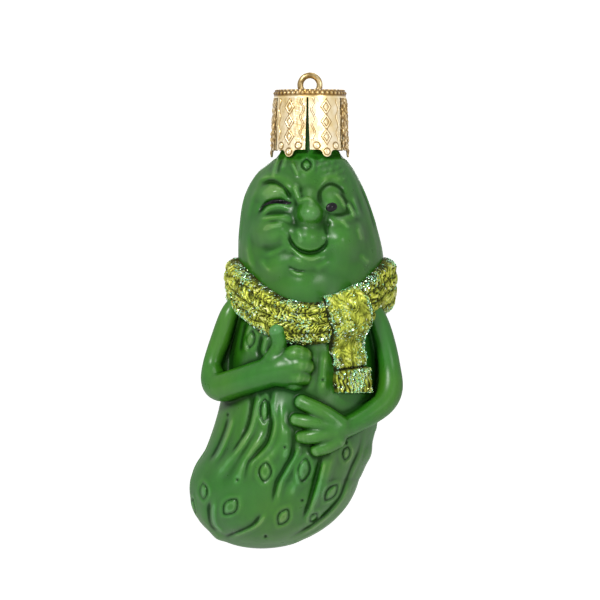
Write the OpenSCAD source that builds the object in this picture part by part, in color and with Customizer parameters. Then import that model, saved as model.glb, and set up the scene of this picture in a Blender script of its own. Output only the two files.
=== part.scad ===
// Pickle ornament: a mouth-blown glass pickle figure with a winking face and a scarf, a stamped
// metal cap over its neck, and a spring wire hanger that goes through the cap into the neck.
// Millimetres, +Z up. The figure faces -Y and hangs from the origin, the centre of the hanging loop.
// Angles around the figure start at its front: 0 is -Y and 90 is +X.

/* [Figure] */
// Height of the glass figure below the shoulder of its neck
figure_h = 88.5; // [84.5:0.5:92.5]
// Greatest width of the pickle, without its arms
figure_w = 39; // [37.6:0.2:40.4]
// Greatest depth of the pickle, without its arms
figure_d = 34; // [32.6:0.2:35.4]
// Thickness of the blown glass
glass_wall = 1; // [0.8:0.1:1.2]
// Width of the long creases in the pickle's skin
crease_w = 3.6; // [3.2:0.1:4]
// Depth of those creases
crease_h = 0.6; // [0.4:0.1:0.7]
// Height of the ridges between some of them
ridge_h = 0.5; // [0.3:0.1:0.6]
// Diameter of the warts on the pickle's skin
wart_d = 3.4; // [3:0.1:3.8]
// Height of the warts
wart_h = 0.5; // [0.3:0.1:0.7]

/* [Face] */
// Diameter of the round nose
nose_d = 6.2; // [5.6:0.1:6.8]
// Height of the nose over the face
nose_h = 3; // [2.6:0.1:3.4]
// Diameter of each cheek
cheek_d = 11; // [10:0.1:12]
// Height of the cheeks over the face
cheek_h = 1.8; // [1.4:0.1:2.2]
// Width of the creases and the folds of the face
fold_w = 2.8; // [2.4:0.1:3.2]
// Depth of the face's creases, and height of its folds
fold_h = 0.6; // [0.4:0.1:0.7]

/* [Enamel] */
// Diameter of the black pupil of the open eye
pupil_d = 2.4; // [2:0.1:2.8]
// Length of the black line of the winking eye
wink_l = 7.6; // [6.8:0.1:8.2]
// Greatest width of the black line
wink_w = 1; // [0.8:0.1:1.2]
// Thickness of the black enamel
enamel_t = 0.25; // [0.2:0.05:0.4]

/* [Arms] */
// Diameter of the arms
arm_d = 6.2; // [5.8:0.1:6.6]
// Diameter of the fist
fist_d = 8.6; // [8:0.1:9.2]
// Height of the fist over the chest
fist_h = 4.4; // [4:0.1:4.8]
// Diameter of a finger
finger_d = 2.9; // [2.6:0.1:3.2]

/* [Scarf] */
// Greatest thickness of the scarf at the sides of the pickle, with the glass under it
scarf_t = 3.7; // [3.3:0.1:4.1]
// Greatest thickness of the scarf at its front and back
scarf_front_t = 3; // [2.7:0.1:3.3]
// Height of the scarf's band at the sides
scarf_h = 10.2; // [9.4:0.2:11]
// Drop of the scarf's band from the sides to the front
scarf_drop = 10.2; // [9.4:0.2:11]
// Width of the scarf's hanging tail
tail_w = 11; // [10:0.2:12]
// Clearance between the end of the tail and the forearm below it
tail_clear = 1.6; // [1.2:0.1:2]
// Depth of the furrows between the scarf's stitches
knit_h = 0.5; // [0.3:0.1:0.6]
// Thickness of the tail
tail_t = 1.8; // [1.5:0.1:2.2]
// Height of the ribbed hem at the end of the tail
hem_h = 5; // [4.4:0.2:5.6]
// How far the hem stands proud of the tail
hem_t = 0.6; // [0.4:0.1:0.8]
// Width of a glitter grain across its corners
grain_d = 0.8; // [0.6:0.1:1]
// Thickness of a glitter grain
grain_t = 0.2; // [0.15:0.05:0.3]

/* [Neck] */
// Outer diameter of the glass neck
neck_d = 12.6; // [12.2:0.1:13]
// Thickness of the neck's glass
neck_wall = 1; // [0.8:0.1:1.2]
// Height of the flare from the neck to the shoulder
flare_h = 3.6; // [3.2:0.1:4]

/* [Cap] */
// Diameter of the cap under its rounded rim
cap_d = 16.4; // [16:0.1:16.8]
// Diameter of the cap's skirt at the tips of its tabs
skirt_d = 17.6; // [17.2:0.1:18]
// Height of the cap from its rim to the tips of its tabs
cap_h = 15.4; // [14.8:0.1:16]
// Thickness of the cap's sheet metal
sheet = 0.35; // [0.25:0.05:0.45]
// Radius of the cap's rounded rim
rim_r = 1.1; // [0.9:0.1:1.3]
// Depth of the cap's top plate below its rim
rim_h = 0.5; // [0.4:0.05:0.6]
// Number of tabs around the skirt
tabs = 6; // [5:1:7]
// Width of the slot between two tabs at its top
slot_w = 0.4; // [0.3:0.05:0.6]
// Width of the slot between two tabs at its end
slot_end_w = 1.2; // [1:0.1:1.5]
// Height of the closed band above the slots
band_h = 1.9; // [1.7:0.1:2.2]
// Radius of the rounded tip in the middle of a tab
tip_r = 1.1; // [0.9:0.05:1.2]
// Height of that tip below the edge of the tab
tip_h = 1.6; // [1.4:0.1:1.8]
// Radius of the tab's corners
corner_r = 1; // [0.8:0.05:1.2]
// Height of the pressed studs and lozenges over the sheet
stud_h = 0.2; // [0.15:0.05:0.3]
// Diameter of the pressed studs
stud_d = 1.2; // [1:0.1:1.4]
// Height of the pressed lozenges
lozenge_h = 2.8; // [2.4:0.1:3]
// Width of the pressed lozenges
lozenge_w = 1.8; // [1.4:0.1:2.2]

/* [Hanger] */
// Diameter of the hanger's wire
wire_d = 1.4; // [1.3:0.05:1.5]
// Diameter of the hanging loop at the middle of its wire
loop_d = 4.4; // [4.2:0.1:4.7]
// Height of the loop's centre over the cap's rim
loop_rise = 1.1; // [1.05:0.05:1.3]
// Radius of the bends in the hanger's legs
bend_r = 1.2; // [1.1:0.05:1.3]
// Length of the straight shanks that slide in the cap
shank_h = 4.6; // [4.4:0.1:4.8]
// Length of the stretch of each leg along the bore of the neck
press_h = 2.6; // [2:0.1:3]
// Length of the legs' ends
toe_h = 2; // [1.6:0.1:2.4]

/* [Clearances] */
// Clearance of the wire in the holes of the cap
hole_gap = 0.08; // [0.05:0.01:0.1]
// Clearance of the hanger's legs in the bore of the neck
leg_gap = 0.08; // [0.05:0.01:0.1]
// Clearance between the cap's plate and the rim of the neck
seat_gap = 0.06; // [0.04:0.01:0.1]
// Clearance between the glass and the tips of the tabs
skirt_gap = 0.5; // [0.4:0.05:0.6]
// Clearance between the glass and the coats that lie on it
coat_gap = 0.12; // [0.1:0.01:0.16]

/* [Hidden] */

green = [0.2, 0.46, 0.18];
lime = [0.62, 0.66, 0.2];
glitter_tint = [0.7, 0.85, 0.75];
black = [0.05, 0.05, 0.06];
gold = [0.85, 0.7, 0.42];

overrun = 1;            // how far a cutter runs past the face that it cuts
seam = 0.05;            // ledge where the moulded figure meets the turned shoulder
round_steps = 96;       // steps of a full round on the neck and the cap

// Heights of the cap and the neck, from the origin
rim_z = -loop_rise;
plate_z = rim_z - rim_h;
neck_z = plate_z - sheet - seat_gap;
tip_z = rim_z - cap_h;
edge_z = tip_z + tip_h;

// Radii of the cap and the neck
cap_r = cap_d / 2;
skirt_r = skirt_d / 2;
plate_r = cap_r - rim_r - sheet;
neck_r = neck_d / 2;
bore_r = neck_r - neck_wall;

// The shoulder spreads from the neck and passes inside the tips of the tabs
flare_turn = 62;
shoulder_r = skirt_r - sheet - skirt_gap + skirt_gap * tan(flare_turn) / 2;
shoulder_z = tip_z - skirt_gap;

// The figure down from its shoulder: share of its height, then lean, width and depth. The lean is a
// share of figure_w, and the others go from the shoulder's radius (0) to the full half size (1).
figure_shares = [
    [0, 0, 0, 0],
    [0.035, -0.02, 0.26, 0.28],
    [0.095, -0.026, 0.5, 0.54],
    [0.18, -0.01, 0.665, 0.76],
    [0.255, 0.005, 0.735, 0.84],
    [0.335, 0.004, 0.7, 0.8],
    [0.44, -0.018, 0.76, 0.86],
    [0.55, -0.038, 0.81, 0.92],
    [0.635, -0.058, 0.905, 0.98],
    [0.74, -0.123, 0.945, 1],
    [0.785, -0.17, 1, 1],
    [0.822, -0.207, 0.98, 0.97]
];
end_share = figure_shares[len(figure_shares) - 1][0];   // where the rounded lower end starts
end_lean_share = -0.078;                                // lean that the lower end adds

// Grid of the glass: rows down each zone and columns around, closer together at the front
head_rows = 23;
band_rows = 5;
body_rows = 27;
end_rows = 7;
column_count = 86;
crowding_turn = 28;     // angle by which a column is drawn to the front
side_crowding_turn = 4.2;   // angle by which it is drawn back to the sides

// Upper and lower edge of the scarf, down from the shoulder
scarf_share = 0.256;
front_rise_share = 0.12;
side_drop_share = 0.16; // height that the band gains at the figure's +X side

// Limbs: angle, share of the figure's height, half width and height as shares of the limb's
// diameter
left_arm_shares = [
    [-67, 0.395, 0.36, 0.75], [-72, 0.43, 0.38, 0.86], [-75, 0.462, 0.4, 0.92], [-75, 0.523, 0.41, 1.02],
    [-71, 0.567, 0.5, 1.04], [-63, 0.583, 0.54, 0.94], [-51, 0.572, 0.54, 0.76],
    [-35, 0.556, 0.55, 0.65], [-15, 0.54, 0.55, 0.63]
];
right_arm_shares = [
    [61, 0.405, 0.34, 0.65], [64, 0.44, 0.4, 0.85], [67, 0.472, 0.42, 0.92], [69, 0.531, 0.43, 1.02],
    [68, 0.585, 0.46, 1.06], [63, 0.624, 0.44, 0.95], [54, 0.65, 0.44, 0.76], [43, 0.673, 0.38, 0.62],
    [33, 0.688, 0.4, 0.6], [25, 0.691, 0.52, 0.65]
];
arm_back_shares = [
    [[-84, 0.43, 0.42, 0.5], [-88, 0.48, 0.42, 0.8], [-88, 0.52, 0.42, 0.85], [-84, 0.55, 0.4, 0.6]],
    [[80, 0.45, 0.4, 0.4], [86, 0.5, 0.4, 0.6], [86, 0.54, 0.4, 0.65], [81, 0.58, 0.4, 0.5]]
];
thumb_shares = [[-21, 0.468, 0.5, 1.7], [-22, 0.5, 0.55, 1.8], [-23, 0.52, 0.6, 1.6]];
finger_shares = [
    [[22, 0.668, 0.5, 1], [12, 0.647, 0.45, 0.9], [-1, 0.624, 0.4, 0.6]],
    [[22, 0.682, 0.5, 1], [12, 0.675, 0.45, 0.95], [-1, 0.673, 0.4, 0.6]],
    [[23, 0.7, 0.5, 1], [5, 0.714, 0.4, 0.55]],
    [[25, 0.716, 0.5, 1], [16, 0.742, 0.4, 0.55]]
];
forearm_row = 6;        // place of the right arm's table that lies under the end of the tail
fist_shares = [-10, 0.54];
knuckle_shares = [-7, 0.508];

// Places on the face and the skin: angle and share of the figure's height
nose_shares = [1, 0.144];
pupil_shares = [22, 0.122];

// Creases of the face: the smile, the brow over the wink, the open eye's socket, the line under that
// eye and the left cheek's. Then its folds: two brows, the tops of two cheeks and a temple.
face_crease_shares = [
    [[-17, 0.195], [-15, 0.214], [-9, 0.234], [0, 0.241], [9, 0.231], [14, 0.208]],
    [[-51, 0.076], [-40, 0.063], [-26, 0.069], [-18, 0.082]],
    [[13, 0.117], [15, 0.086], [25, 0.069], [39, 0.076], [45, 0.099]],
    [[15, 0.137], [28, 0.148], [43, 0.143]],
    [[-46, 0.225], [-35, 0.225], [-25, 0.217], [-17, 0.197]]
];
face_fold_shares = [
    [[-61, 0.063], [-46, 0.045], [-24, 0.052], [-9, 0.083]],
    [[16, 0.055], [30, 0.045], [45, 0.06]],
    [[-42, 0.168], [-29, 0.17], [-11, 0.153]],
    [[16, 0.155], [29, 0.158], [49, 0.14]],
    [[65, 0.02], [68, 0.094], [72, 0.197]]
];

// Swellings of the face: angle and height, then size and height as shares of a cheek's. They are the
// cheeks, the muzzle, the chin, the lower lip, the closed lid, the open eye, the brow and the jaw.
swelling_shares = [
    [-32, 0.189, 1, 1], [29, 0.209, 1, 1.05], [-1, 0.202, 0.84, 0.8], [-6, 0.322, 1.02, 0.55],
    [-4, 0.261, 0.6, 0.45], [-33, 0.087, 0.65, 0.65], [23, 0.119, 0.62, 0.65], [4, 0.112, 0.56, 0.5],
    [21, 0.266, 0.6, 0.28]
];

wart_shares = [
    [0, 0.016], [-48, 0.462], [-55, 0.85], [-29, 0.889], [-9, 0.799], [17, 0.794], [-25, 0.643],
    [45, 0.853], [13, 0.915], [-130, 0.6], [172, 0.57], [140, 0.64], [102, 0.86], [-104, 0.8],
    [-150, 0.88], [155, 0.9], [-75, 0.89], [80, 0.66]
];

// Routes of the long creases, and of the ridges between some of them: angle and height
crease_shares = [
    [[-39, 0.6], [-36, 0.68], [-42, 0.763]],
    [[-24, 0.6], [-18, 0.68], [-24, 0.778], [-21, 0.819]],
    [[1, 0.73], [3, 0.791], [1, 0.881]],
    [[23, 0.76], [27, 0.83], [29, 0.928]],
    [[51, 0.7], [49, 0.789], [44, 0.863], [32, 0.938], [18, 0.964]],
    [[66, 0.7], [67, 0.76], [56, 0.861], [41, 0.94]],
    [[-58, 0.66], [-60, 0.778]],
    [[-49, 0.876], [-59, 0.955]],
    [[-5, 0.904], [-28, 0.956]],
    [[-37, 0.46], [-34, 0.51]],
    [[11, 0.5], [9, 0.598]],
    [[93, 0.52], [88, 0.66], [95, 0.8], [90, 0.93]],
    [[118, 0.48], [113, 0.62], [121, 0.78], [116, 0.94]],
    [[144, 0.54], [148, 0.7], [139, 0.88]],
    [[171, 0.5], [165, 0.64], [173, 0.8], [167, 0.94]],
    [[-163, 0.53], [-160, 0.68], [-169, 0.86]],
    [[-141, 0.49], [-147, 0.64], [-138, 0.8], [-143, 0.93]],
    [[-117, 0.54], [-111, 0.7], [-119, 0.9]],
    [[-90, 0.64], [-85, 0.77], [-92, 0.93]]
];
ridge_shares = [
    [[-34, 0.696], [-44, 0.817]],
    [[-22, 0.701], [-28, 0.84]],
    [[-15, 0.619], [-9, 0.737], [-14, 0.778]],
    [[14, 0.763], [13, 0.866]],
    [[35, 0.73], [35, 0.84], [32, 0.886]],
    [[-6, 0.68], [0, 0.768]]
];
face_fade_share = 0.125;    // share of the head over which the face fades out at the scarf
neck_fade_share = 0.035;    // share of the figure's height over which it fades in at the neck

// The wink's line about its own place: across and down, as shares of its length
wink_place_shares = [-28.5, 0.113];
wink_shares = [[-0.5, 0.2], [-0.28, 0], [0.1, -0.09], [0.5, 0.01]];
wink_steps = 8;

tail_top_turn = 23;     // angle at the middle of the tail, at its top and at its end
tail_low_turn = 39;
tail_column_count = 12;
tail_rows = 16;
knit_rows = 4;          // rows of stitches in the band
tail_step_share = 0.3;  // share of scarf_h over which the tail steps down from the band
edge_share = 0.55;      // thickness of the scarf at its edges, as a share of its greatest
glass_share = 0.6;      // share of the scarf's thickness that is glass

grain_turn = 4;         // angle that the band's grains keep from the tail
grain_count = 34;       // glitter grains along each edge of the band
tail_grain_count = 4;   // glitter grains down each side of the tail, between the band and the hem

function mix(a, b, t) = a + (b - a) * t;
function clamp(t) = max(0, min(1, t));
function ease(t) = let (c = clamp(t)) c * c * (3 - 2 * c);

// Smooth curve through a table whose first column rises
function slope(table, i) =
    let (a = table[max(0, i - 1)], b = table[min(len(table) - 1, i + 1)])
    (b - a) / (b[0] - a[0]);
function along(table, v) =
    let (
        i = max(0, min(len(table) - 2, len([for (row = table) if (row[0] <= v) 1]) - 1)),
        a = table[i], b = table[i + 1], d = b[0] - a[0],
        u = (v - a[0]) / d, uu = u * u, uuu = uu * u
    )
    a * (2 * uuu - 3 * uu + 1) + b * (3 * uu - 2 * uuu)
    + d * (slope(table, i) * (uuu - 2 * uu + u) + slope(table, i + 1) * (uuu - uu));

// The pickle's core at a share of its height: lean, half width, half depth and the tilt of its skin
function core(v) =
    let (
        k = along(figure_shares, min(v, end_share)),
        t = asin(clamp((v - end_share) / (1 - end_share))),
        lean = k[1] + end_lean_share * sin(t)
    )
    [
        figure_w * lean,
        mix(shoulder_r, figure_w / 2, k[2]) * cos(t),
        mix(shoulder_r, figure_d / 2, k[3]) * cos(t),
        t
    ];

// Point on the figure at an angle and a share of its height, h outside the core
function skin(turn, v, h) =
    let (k = core(v), out = h * cos(k[3]))
    [
        k[0] + (k[1] + out) * sin(turn),
        -(k[2] + out) * cos(turn),
        shoulder_z - figure_h * v - h * sin(k[3])
    ];

// Distance over the skin between two places, and from a place to a leg of a route
function spread(p, q, r) = [(p[0] - q[0]) * PI / 180 * r, (p[1] - q[1]) * figure_h];
function dome(p, place, r, size) = let (d = norm(spread(p, place, r)) / (size / 2)) max(0, 1 - d * d);
limb_spread_share = 1.15;   // half width of a limb where it meets the skin, against its own
function limb_leg(p, a, b, r, size) =
    let (
        leg = spread(b, a, r), reach = spread(p, a, r),
        t = clamp((reach * leg) / (leg * leg)),
        k = mix(a, b, t),
        d = norm(reach - leg * t) / (k[2] * size * limb_spread_share)
    )
    k[3] * size * pow(max(0, 1 - d * d), 0.6);
function limb(p, route, r, size) =
    max([for (i = [0:len(route) - 2]) limb_leg(p, route[i], route[i + 1], r, size)]);
function crease_leg(p, a, b, r, size) =
    let (
        leg = spread(b, a, r), reach = spread(p, a, r),
        d = norm(reach - leg * clamp((reach * leg) / (leg * leg))) / (size / 2)
    )
    max(0, 1 - d * d);
function crease(p, route, r, size) =
    max([for (i = [0:len(route) - 2]) crease_leg(p, route[i], route[i + 1], r, size)]);

function face_relief(p, r) =
    let (domes = [for (k = swelling_shares) k[3] * pow(dome(p, k, r, cheek_d * k[2]), 1.5)])
    nose_h * pow(dome(p, nose_shares, r, nose_d), 0.7)
    + cheek_h * (domes * [for (k = domes) 1])
    + fold_h * max([for (route = face_fold_shares) crease(p, route, r, fold_w)])
    - fold_h * max([for (route = face_crease_shares) crease(p, route, r, fold_w)]);

function limb_relief(p, r) =
    max(concat(
        [
            limb(p, left_arm_shares, r, arm_d),
            limb(p, right_arm_shares, r, arm_d),
            limb(p, thumb_shares, r, finger_d),
            fist_h * pow(dome(p, fist_shares, r, fist_d), 0.7),
            fist_h * 0.9 * pow(dome(p, knuckle_shares, r, fist_d * 0.6), 0.7)
        ],
        [for (route = finger_shares) limb(p, route, r, finger_d)],
        [for (route = arm_back_shares) limb(p, route, r, arm_d)]
    ));

function skin_relief(p, r) =
    wart_h * max([for (place = wart_shares) dome(p, place, r, wart_d)])
    + ridge_h * max([for (route = ridge_shares) crease(p, route, r, crease_w)])
    - crease_h * max([for (route = crease_shares) crease(p, route, r, crease_w)]);

// Edges of the scarf's band at an angle, as distances down from the shoulder, and the share of the
// way from its upper to its lower edge
function front(turn) = pow(max(0, cos(turn)), 1.8);
function band_top(turn) = figure_h * scarf_share + scarf_drop * front(turn);
function band_low(turn) =
    band_top(turn)
    + scarf_h * (1 - front_rise_share * front(turn) + side_drop_share * pow(max(0, sin(turn)), 3));
function band_place(turn, down) = (down - band_top(turn)) / (band_low(turn) - band_top(turn));

// Full thickness of the scarf over the core, and its shares: the glass under it and its outside
function scarf_proud(turn) = mix(scarf_t, scarf_front_t, pow(cos(turn), 2));
function crown(w) = sqrt(max(0, 4 * w * (1 - w)));
function band_glass(w) = (1 - edge_share) * crown(w) * glass_share + 0.2 * crown(w);
function band_out(w) = edge_share + (1 - edge_share) * crown(w);

// Height of the glass over the core
function relief(turn, v) =
    let (
        down = v * figure_h, w = band_place(turn, down), r = core(v)[1], p = [turn, v],
        under = min(band_top(turn) - down, figure_h * scarf_share) / (figure_h * scarf_share)
    )
    w < 0 ? (face_relief(p, r) + skin_relief(p, r))
        * ease(under / face_fade_share) * ease(v / neck_fade_share) :
    w <= 1 ? scarf_proud(turn) * band_glass(w) :
    let (limbs = limb_relief(p, r))
    limbs + skin_relief(p, r) * ease((down - band_low(turn)) / scarf_h) * (1 - ease(limbs / wart_h));

// Share of the figure's height at each row of the glass, at an angle
function row_share(j, turn) =
    j < head_rows ? band_top(turn) * j / head_rows / figure_h :
    j < head_rows + band_rows ?
        mix(band_top(turn), band_low(turn), (j - head_rows) / band_rows) / figure_h :
    j < head_rows + band_rows + body_rows ?
        mix(band_low(turn) / figure_h, end_share, (j - head_rows - band_rows) / body_rows) :
    mix(end_share, 1, sin(90 * (j - head_rows - band_rows - body_rows) / end_rows));
function column_turn(i) =
    let (a = 360 * i / column_count - 180)
    a - crowding_turn * sin(a) + side_crowding_turn * sin(2 * a);

// Faces of a sheet of points, and of the solid between two sheets of the same size. A closed sheet
// goes all the way round, and each of its cells is split along its shorter diagonal.
function cell(a, b, c, d) = [[a, b, c], [a, c, d]];
function skin_cell(pts, a, b, c, d) =
    norm(pts[a] - pts[c]) <= norm(pts[b] - pts[d]) ? cell(a, b, c, d) : cell(b, c, d, a);
function sheet_faces(pts, rows, cols, first, closed, inward) = [
    for (j = [0:rows - 2], i = [0:closed ? cols - 1 : cols - 2])
        let (k = (i + 1) % cols, top = first + j * cols, low = top + cols)
        each inward
            ? skin_cell(pts, top + i, low + i, low + k, top + k)
            : skin_cell(pts, top + i, top + k, low + k, low + i)
];
function edge_faces(rows, cols, closed) =
    let (inner = rows * cols, last = (rows - 1) * cols)
    concat(
        [
            for (i = [0:closed ? cols - 1 : cols - 2]) let (k = (i + 1) % cols)
                each concat(
                    cell(k, i, inner + i, inner + k),
                    cell(last + i, last + k, inner + last + k, inner + last + i)
                )
        ],
        closed ? [] : [
            for (j = [0:rows - 2]) let (a = j * cols, b = a + cols)
                each concat(
                    cell(a, b, inner + b, inner + a),
                    cell(b + cols - 1, a + cols - 1, inner + a + cols - 1, inner + b + cols - 1)
                )
        ]
    );
module slab(outer, inner, closed) {
    rows = len(outer);
    cols = len(outer[0]);
    pts = concat([for (row = outer) each row], [for (row = inner) each row]);
    polyhedron(
        points = pts,
        faces = concat(
            sheet_faces(pts, rows, cols, 0, closed, false),
            sheet_faces(pts, rows, cols, rows * cols, closed, true),
            edge_faces(rows, cols, closed)
        )
    );
}

// The moulded figure: a closed shell, open at the shoulder, with half as many columns inside
module figure_shell() {
    rows = head_rows + band_rows + body_rows + end_rows;
    half = column_count / 2;
    in_rows = [for (j = [0:3:rows - 2]) j];
    outer = [
        for (j = [0:rows - 1], i = [0:column_count - 1])
            let (turn = column_turn(i), v = row_share(j, turn))
            j == 0 ? skin(turn, 0, seam) : skin(turn, v, relief(turn, v))
    ];
    inner = [
        for (j = in_rows, i = [0:half - 1])
            let (turn = column_turn(2 * i), v = row_share(j, turn))
            j == 0 ? skin(turn, 0, -glass_wall - seam) : skin(turn, v, -glass_wall)
    ];
    poles = [skin(0, 1, 0), skin(0, 1, -glass_wall * 1.5)];
    first = rows * column_count;
    pole = first + len(in_rows) * half;
    last = pole - half;
    pts = concat(outer, inner, poles);
    polyhedron(
        points = pts,
        faces = concat(
            sheet_faces(pts, rows, column_count, 0, true, false),
            sheet_faces(pts, len(in_rows), half, first, true, true),
            [
                for (i = [0:column_count - 1])
                    [first - column_count + i, first - column_count + (i + 1) % column_count, pole]
            ],
            [for (i = [0:half - 1]) [last + (i + 1) % half, last + i, pole + 1]],
            [
                for (i = [0:half - 1])
                    let (a = 2 * i, c = (a + 2) % column_count, n = first + i, m = first + (i + 1) % half)
                    each [[a, n, a + 1], [a + 1, n, m], [a + 1, m, c]]
            ]
        )
    );
}

// The neck and its shoulder, turned about the cap's axis
module neck_turned() {
    steps = 6;
    flare = [
        for (i = [0:steps])
            let (t = flare_turn * i / steps)
            [(1 - cos(t)) / (1 - cos(flare_turn)), sin(t) / sin(flare_turn)]
    ];
    rotate_extrude($fn = round_steps)
        polygon(concat(
            [[bore_r, neck_z], [neck_r, neck_z]],
            [for (p = flare) [mix(neck_r, shoulder_r, p[0]), shoulder_z + flare_h * (1 - p[1])]],
            [
                for (i = [steps:-1:0])
                    [
                        mix(bore_r, shoulder_r - glass_wall, flare[i][0]),
                        shoulder_z + flare_h * (1 - flare[i][1])
                    ]
            ]
        ));
}

module glass_body() {
    color(green) {
        figure_shell();
        neck_turned();
    }
}

// How deep the knit is, from 0 to 1, at a column and a third of a row of stitches: a furrow between the
// rows, and in each row stitches that step over by a column
function knit(i, j, steps) = j == 0 || j == steps ? 0 : j % 3 == 0 ? 1 : (i + j) % 2;

// The scarf's band around the neck, a coat over the ring that the glass forms under it
module scarf_wrap() {
    steps = 3 * knit_rows;
    turns = [for (i = [0:column_count - 1]) column_turn(i)];
    color(lime)
        slab(
            [
                for (j = [0:steps]) [
                    for (i = [0:column_count - 1])
                        let (
                            turn = turns[i], w = j / steps,
                            v = mix(band_top(turn), band_low(turn), w) / figure_h
                        )
                        skin(turn, v, scarf_proud(turn) * band_out(w) - knit_h * knit(i, j, steps))
                ]
            ],
            [
                for (j = [0:steps]) [
                    for (turn = turns)
                        let (w = j / steps, v = mix(band_top(turn), band_low(turn), w) / figure_h)
                        skin(turn, v, scarf_proud(turn) * band_glass(w) + coat_gap)
                ]
            ],
            true
        );
}

// Underside of the tail over the core: on the band, then stepping down to the chest
function tail_seat(turn, v) =
    let (
        down = v * figure_h, w = band_place(turn, down),
        past = (down - band_low(turn)) / (scarf_h * tail_step_share)
    )
    coat_gap + mix(scarf_proud(turn) * band_out(clamp(w)), 0, ease(past));
function tail_top(turn) = band_top(turn) + coat_gap;
function tail_low() =
    let (forearm = right_arm_shares[forearm_row])
    figure_h * forearm[1] - arm_d * forearm[2] * limb_spread_share - tail_clear;
function tail_share(turn, j) = mix(tail_top(turn), tail_low(), j / tail_rows) / figure_h;
function tail_angle(i, j) =
    let (r = core(scarf_share)[1] + scarf_t + tail_t)
    mix(tail_top_turn, tail_low_turn, pow(j / tail_rows, 0.8))
    + (2 * i / tail_column_count - 1) * tail_w / 2 / r * 180 / PI;
function tail_thick(i, down) =
    tail_t * mix(0.7, 1, crown(i / tail_column_count))
    + hem_t * ease((down - tail_low() + hem_h) / hem_t);

module scarf_tail() {
    color(lime)
        slab(
            [
                for (j = [0:tail_rows]) [
                    for (i = [0:tail_column_count])
                        let (turn = tail_angle(i, j), v = tail_share(turn, j))
                        skin(turn, v, tail_seat(turn, v) + tail_thick(i, v * figure_h))
                ]
            ],
            [
                for (j = [0:tail_rows]) [
                    for (i = [0:tail_column_count])
                        let (turn = tail_angle(i, j), v = tail_share(turn, j))
                        skin(turn, v, tail_seat(turn, v))
                ]
            ],
            false
        );
}

// A six-sided grain lying on the skin at a point, facing the way that it points
module grain(point, way) {
    translate(point)
        rotate([0, acos(way[2] / norm(way)), atan2(way[1], way[0])])
            cylinder(d = grain_d, h = grain_t, $fn = 6);
}

module scarf_glitter() {
    color(glitter_tint) {
        for (i = [0:grain_count - 1], low = [0, 1]) {
            turn = column_turn(column_count * (i + 0.5 * low) / grain_count);
            w = mix(0.1, 0.9, low) + 0.06 * sin(137.5 * i);
            v = mix(band_top(turn), band_low(turn), w) / figure_h;
            on_tail = turn > tail_angle(0, 0) - grain_turn
                && turn < tail_angle(tail_column_count, tail_rows * 0.5) + grain_turn;
            if (!on_tail)
                grain(
                    skin(turn, v, scarf_proud(turn) * band_out(w) + coat_gap + grain_t),
                    [sin(turn), -cos(turn), mix(1.2, -1.2, low)]
                );
        }
        for (j = [0:tail_grain_count - 1], side = [0.14, 0.86]) {
            column = tail_column_count * (side + 0.03 * sin(137.5 * j));
            row = tail_rows * mix(0.59, 0.75, j / tail_grain_count);
            turn = tail_angle(column, row);
            v = tail_share(turn, row);
            grain(
                skin(turn, v, tail_seat(turn, v) + tail_thick(column, v * figure_h) + coat_gap),
                [sin(turn), -cos(turn), 0]
            );
        }
    }
}

// Direction that the skin faces at a place, from places this far to each side of it
probe_turn = 0.4;
probe_share = 0.004;
function facing(turn, v) =
    let (
        a = turn - probe_turn, b = turn + probe_turn, c = v - probe_share, d = v + probe_share,
        across = skin(b, v, relief(b, v)) - skin(a, v, relief(a, v)),
        lower = skin(turn, d, relief(turn, d)) - skin(turn, c, relief(turn, c))
    )
    cross(lower, across);

module open_eye_enamel() {
    turn = pupil_shares[0];
    v = pupil_shares[1];
    way = facing(turn, v);
    color(black)
        translate(skin(turn, v, relief(turn, v) + coat_gap))
            rotate([0, acos(way[2] / norm(way)), atan2(way[1], way[0])])
                cylinder(d = pupil_d, h = enamel_t, $fn = 48);
}

module wink_enamel() {
    r = core(wink_place_shares[1])[1];
    line = [
        for (i = [0:wink_steps])
            let (
                t = (len(wink_shares) - 1) * i / wink_steps,
                k = min(len(wink_shares) - 2, floor(t)),
                p = mix(wink_shares[k], wink_shares[k + 1], t - k) * wink_l
            )
            wink_place_shares + [p[0] / r * 180 / PI, p[1] / figure_h]
    ];
    half = [for (i = [0:wink_steps]) wink_w / 2 / figure_h * mix(0.35, 1, crown(i / wink_steps))];
    color(black)
        slab(
            [
                for (s = [-1, 1]) [
                    for (i = [0:wink_steps]) let (turn = line[i][0], v = line[i][1] + s * half[i])
                        skin(turn, v, relief(turn, v) + coat_gap + enamel_t)
                ]
            ],
            [
                for (s = [-1, 1]) [
                    for (i = [0:wink_steps]) let (turn = line[i][0], v = line[i][1] + s * half[i])
                        skin(turn, v, relief(turn, v) + coat_gap)
                ]
            ],
            false
        );
}

// Turns the six slots so that one faces the front
cap_turn = -4;
lozenge_count = 3;      // pressed lozenges down each tab
slot_z = rim_z - band_h;

// Outline of the cap's sheet, turned about its axis: plate, rounded rim and flared skirt
module cap_sheet() {
    steps = 8;
    arc = [for (i = [0:steps]) [sin(90 * i / steps), cos(90 * i / steps)]];
    hub_r = cap_r - rim_r;
    arc_z = rim_z - rim_r;
    rotate_extrude($fn = round_steps)
        polygon(concat(
            [[0, plate_z], [plate_r, plate_z], [plate_r, rim_z]],
            [for (p = arc) [hub_r + rim_r * p[0], arc_z + rim_r * p[1]]],
            [[skirt_r, tip_z], [skirt_r - sheet, tip_z]],
            [
                for (i = [steps:-1:0])
                    [hub_r + (rim_r - sheet) * arc[i][0], arc_z + (rim_r - sheet) * arc[i][1]]
            ],
            [[plate_r + sheet, plate_z - sheet], [0, plate_z - sheet]]
        ));
}

// Pushes an outline drawn in width and height out through the skirt's front
module through_skirt() {
    depth = skirt_r * cos(180 / tabs) - tip_r;
    rotate([90, 0, 0]) translate([0, 0, depth])
        linear_extrude(skirt_r + overrun - depth) children();
}

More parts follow.
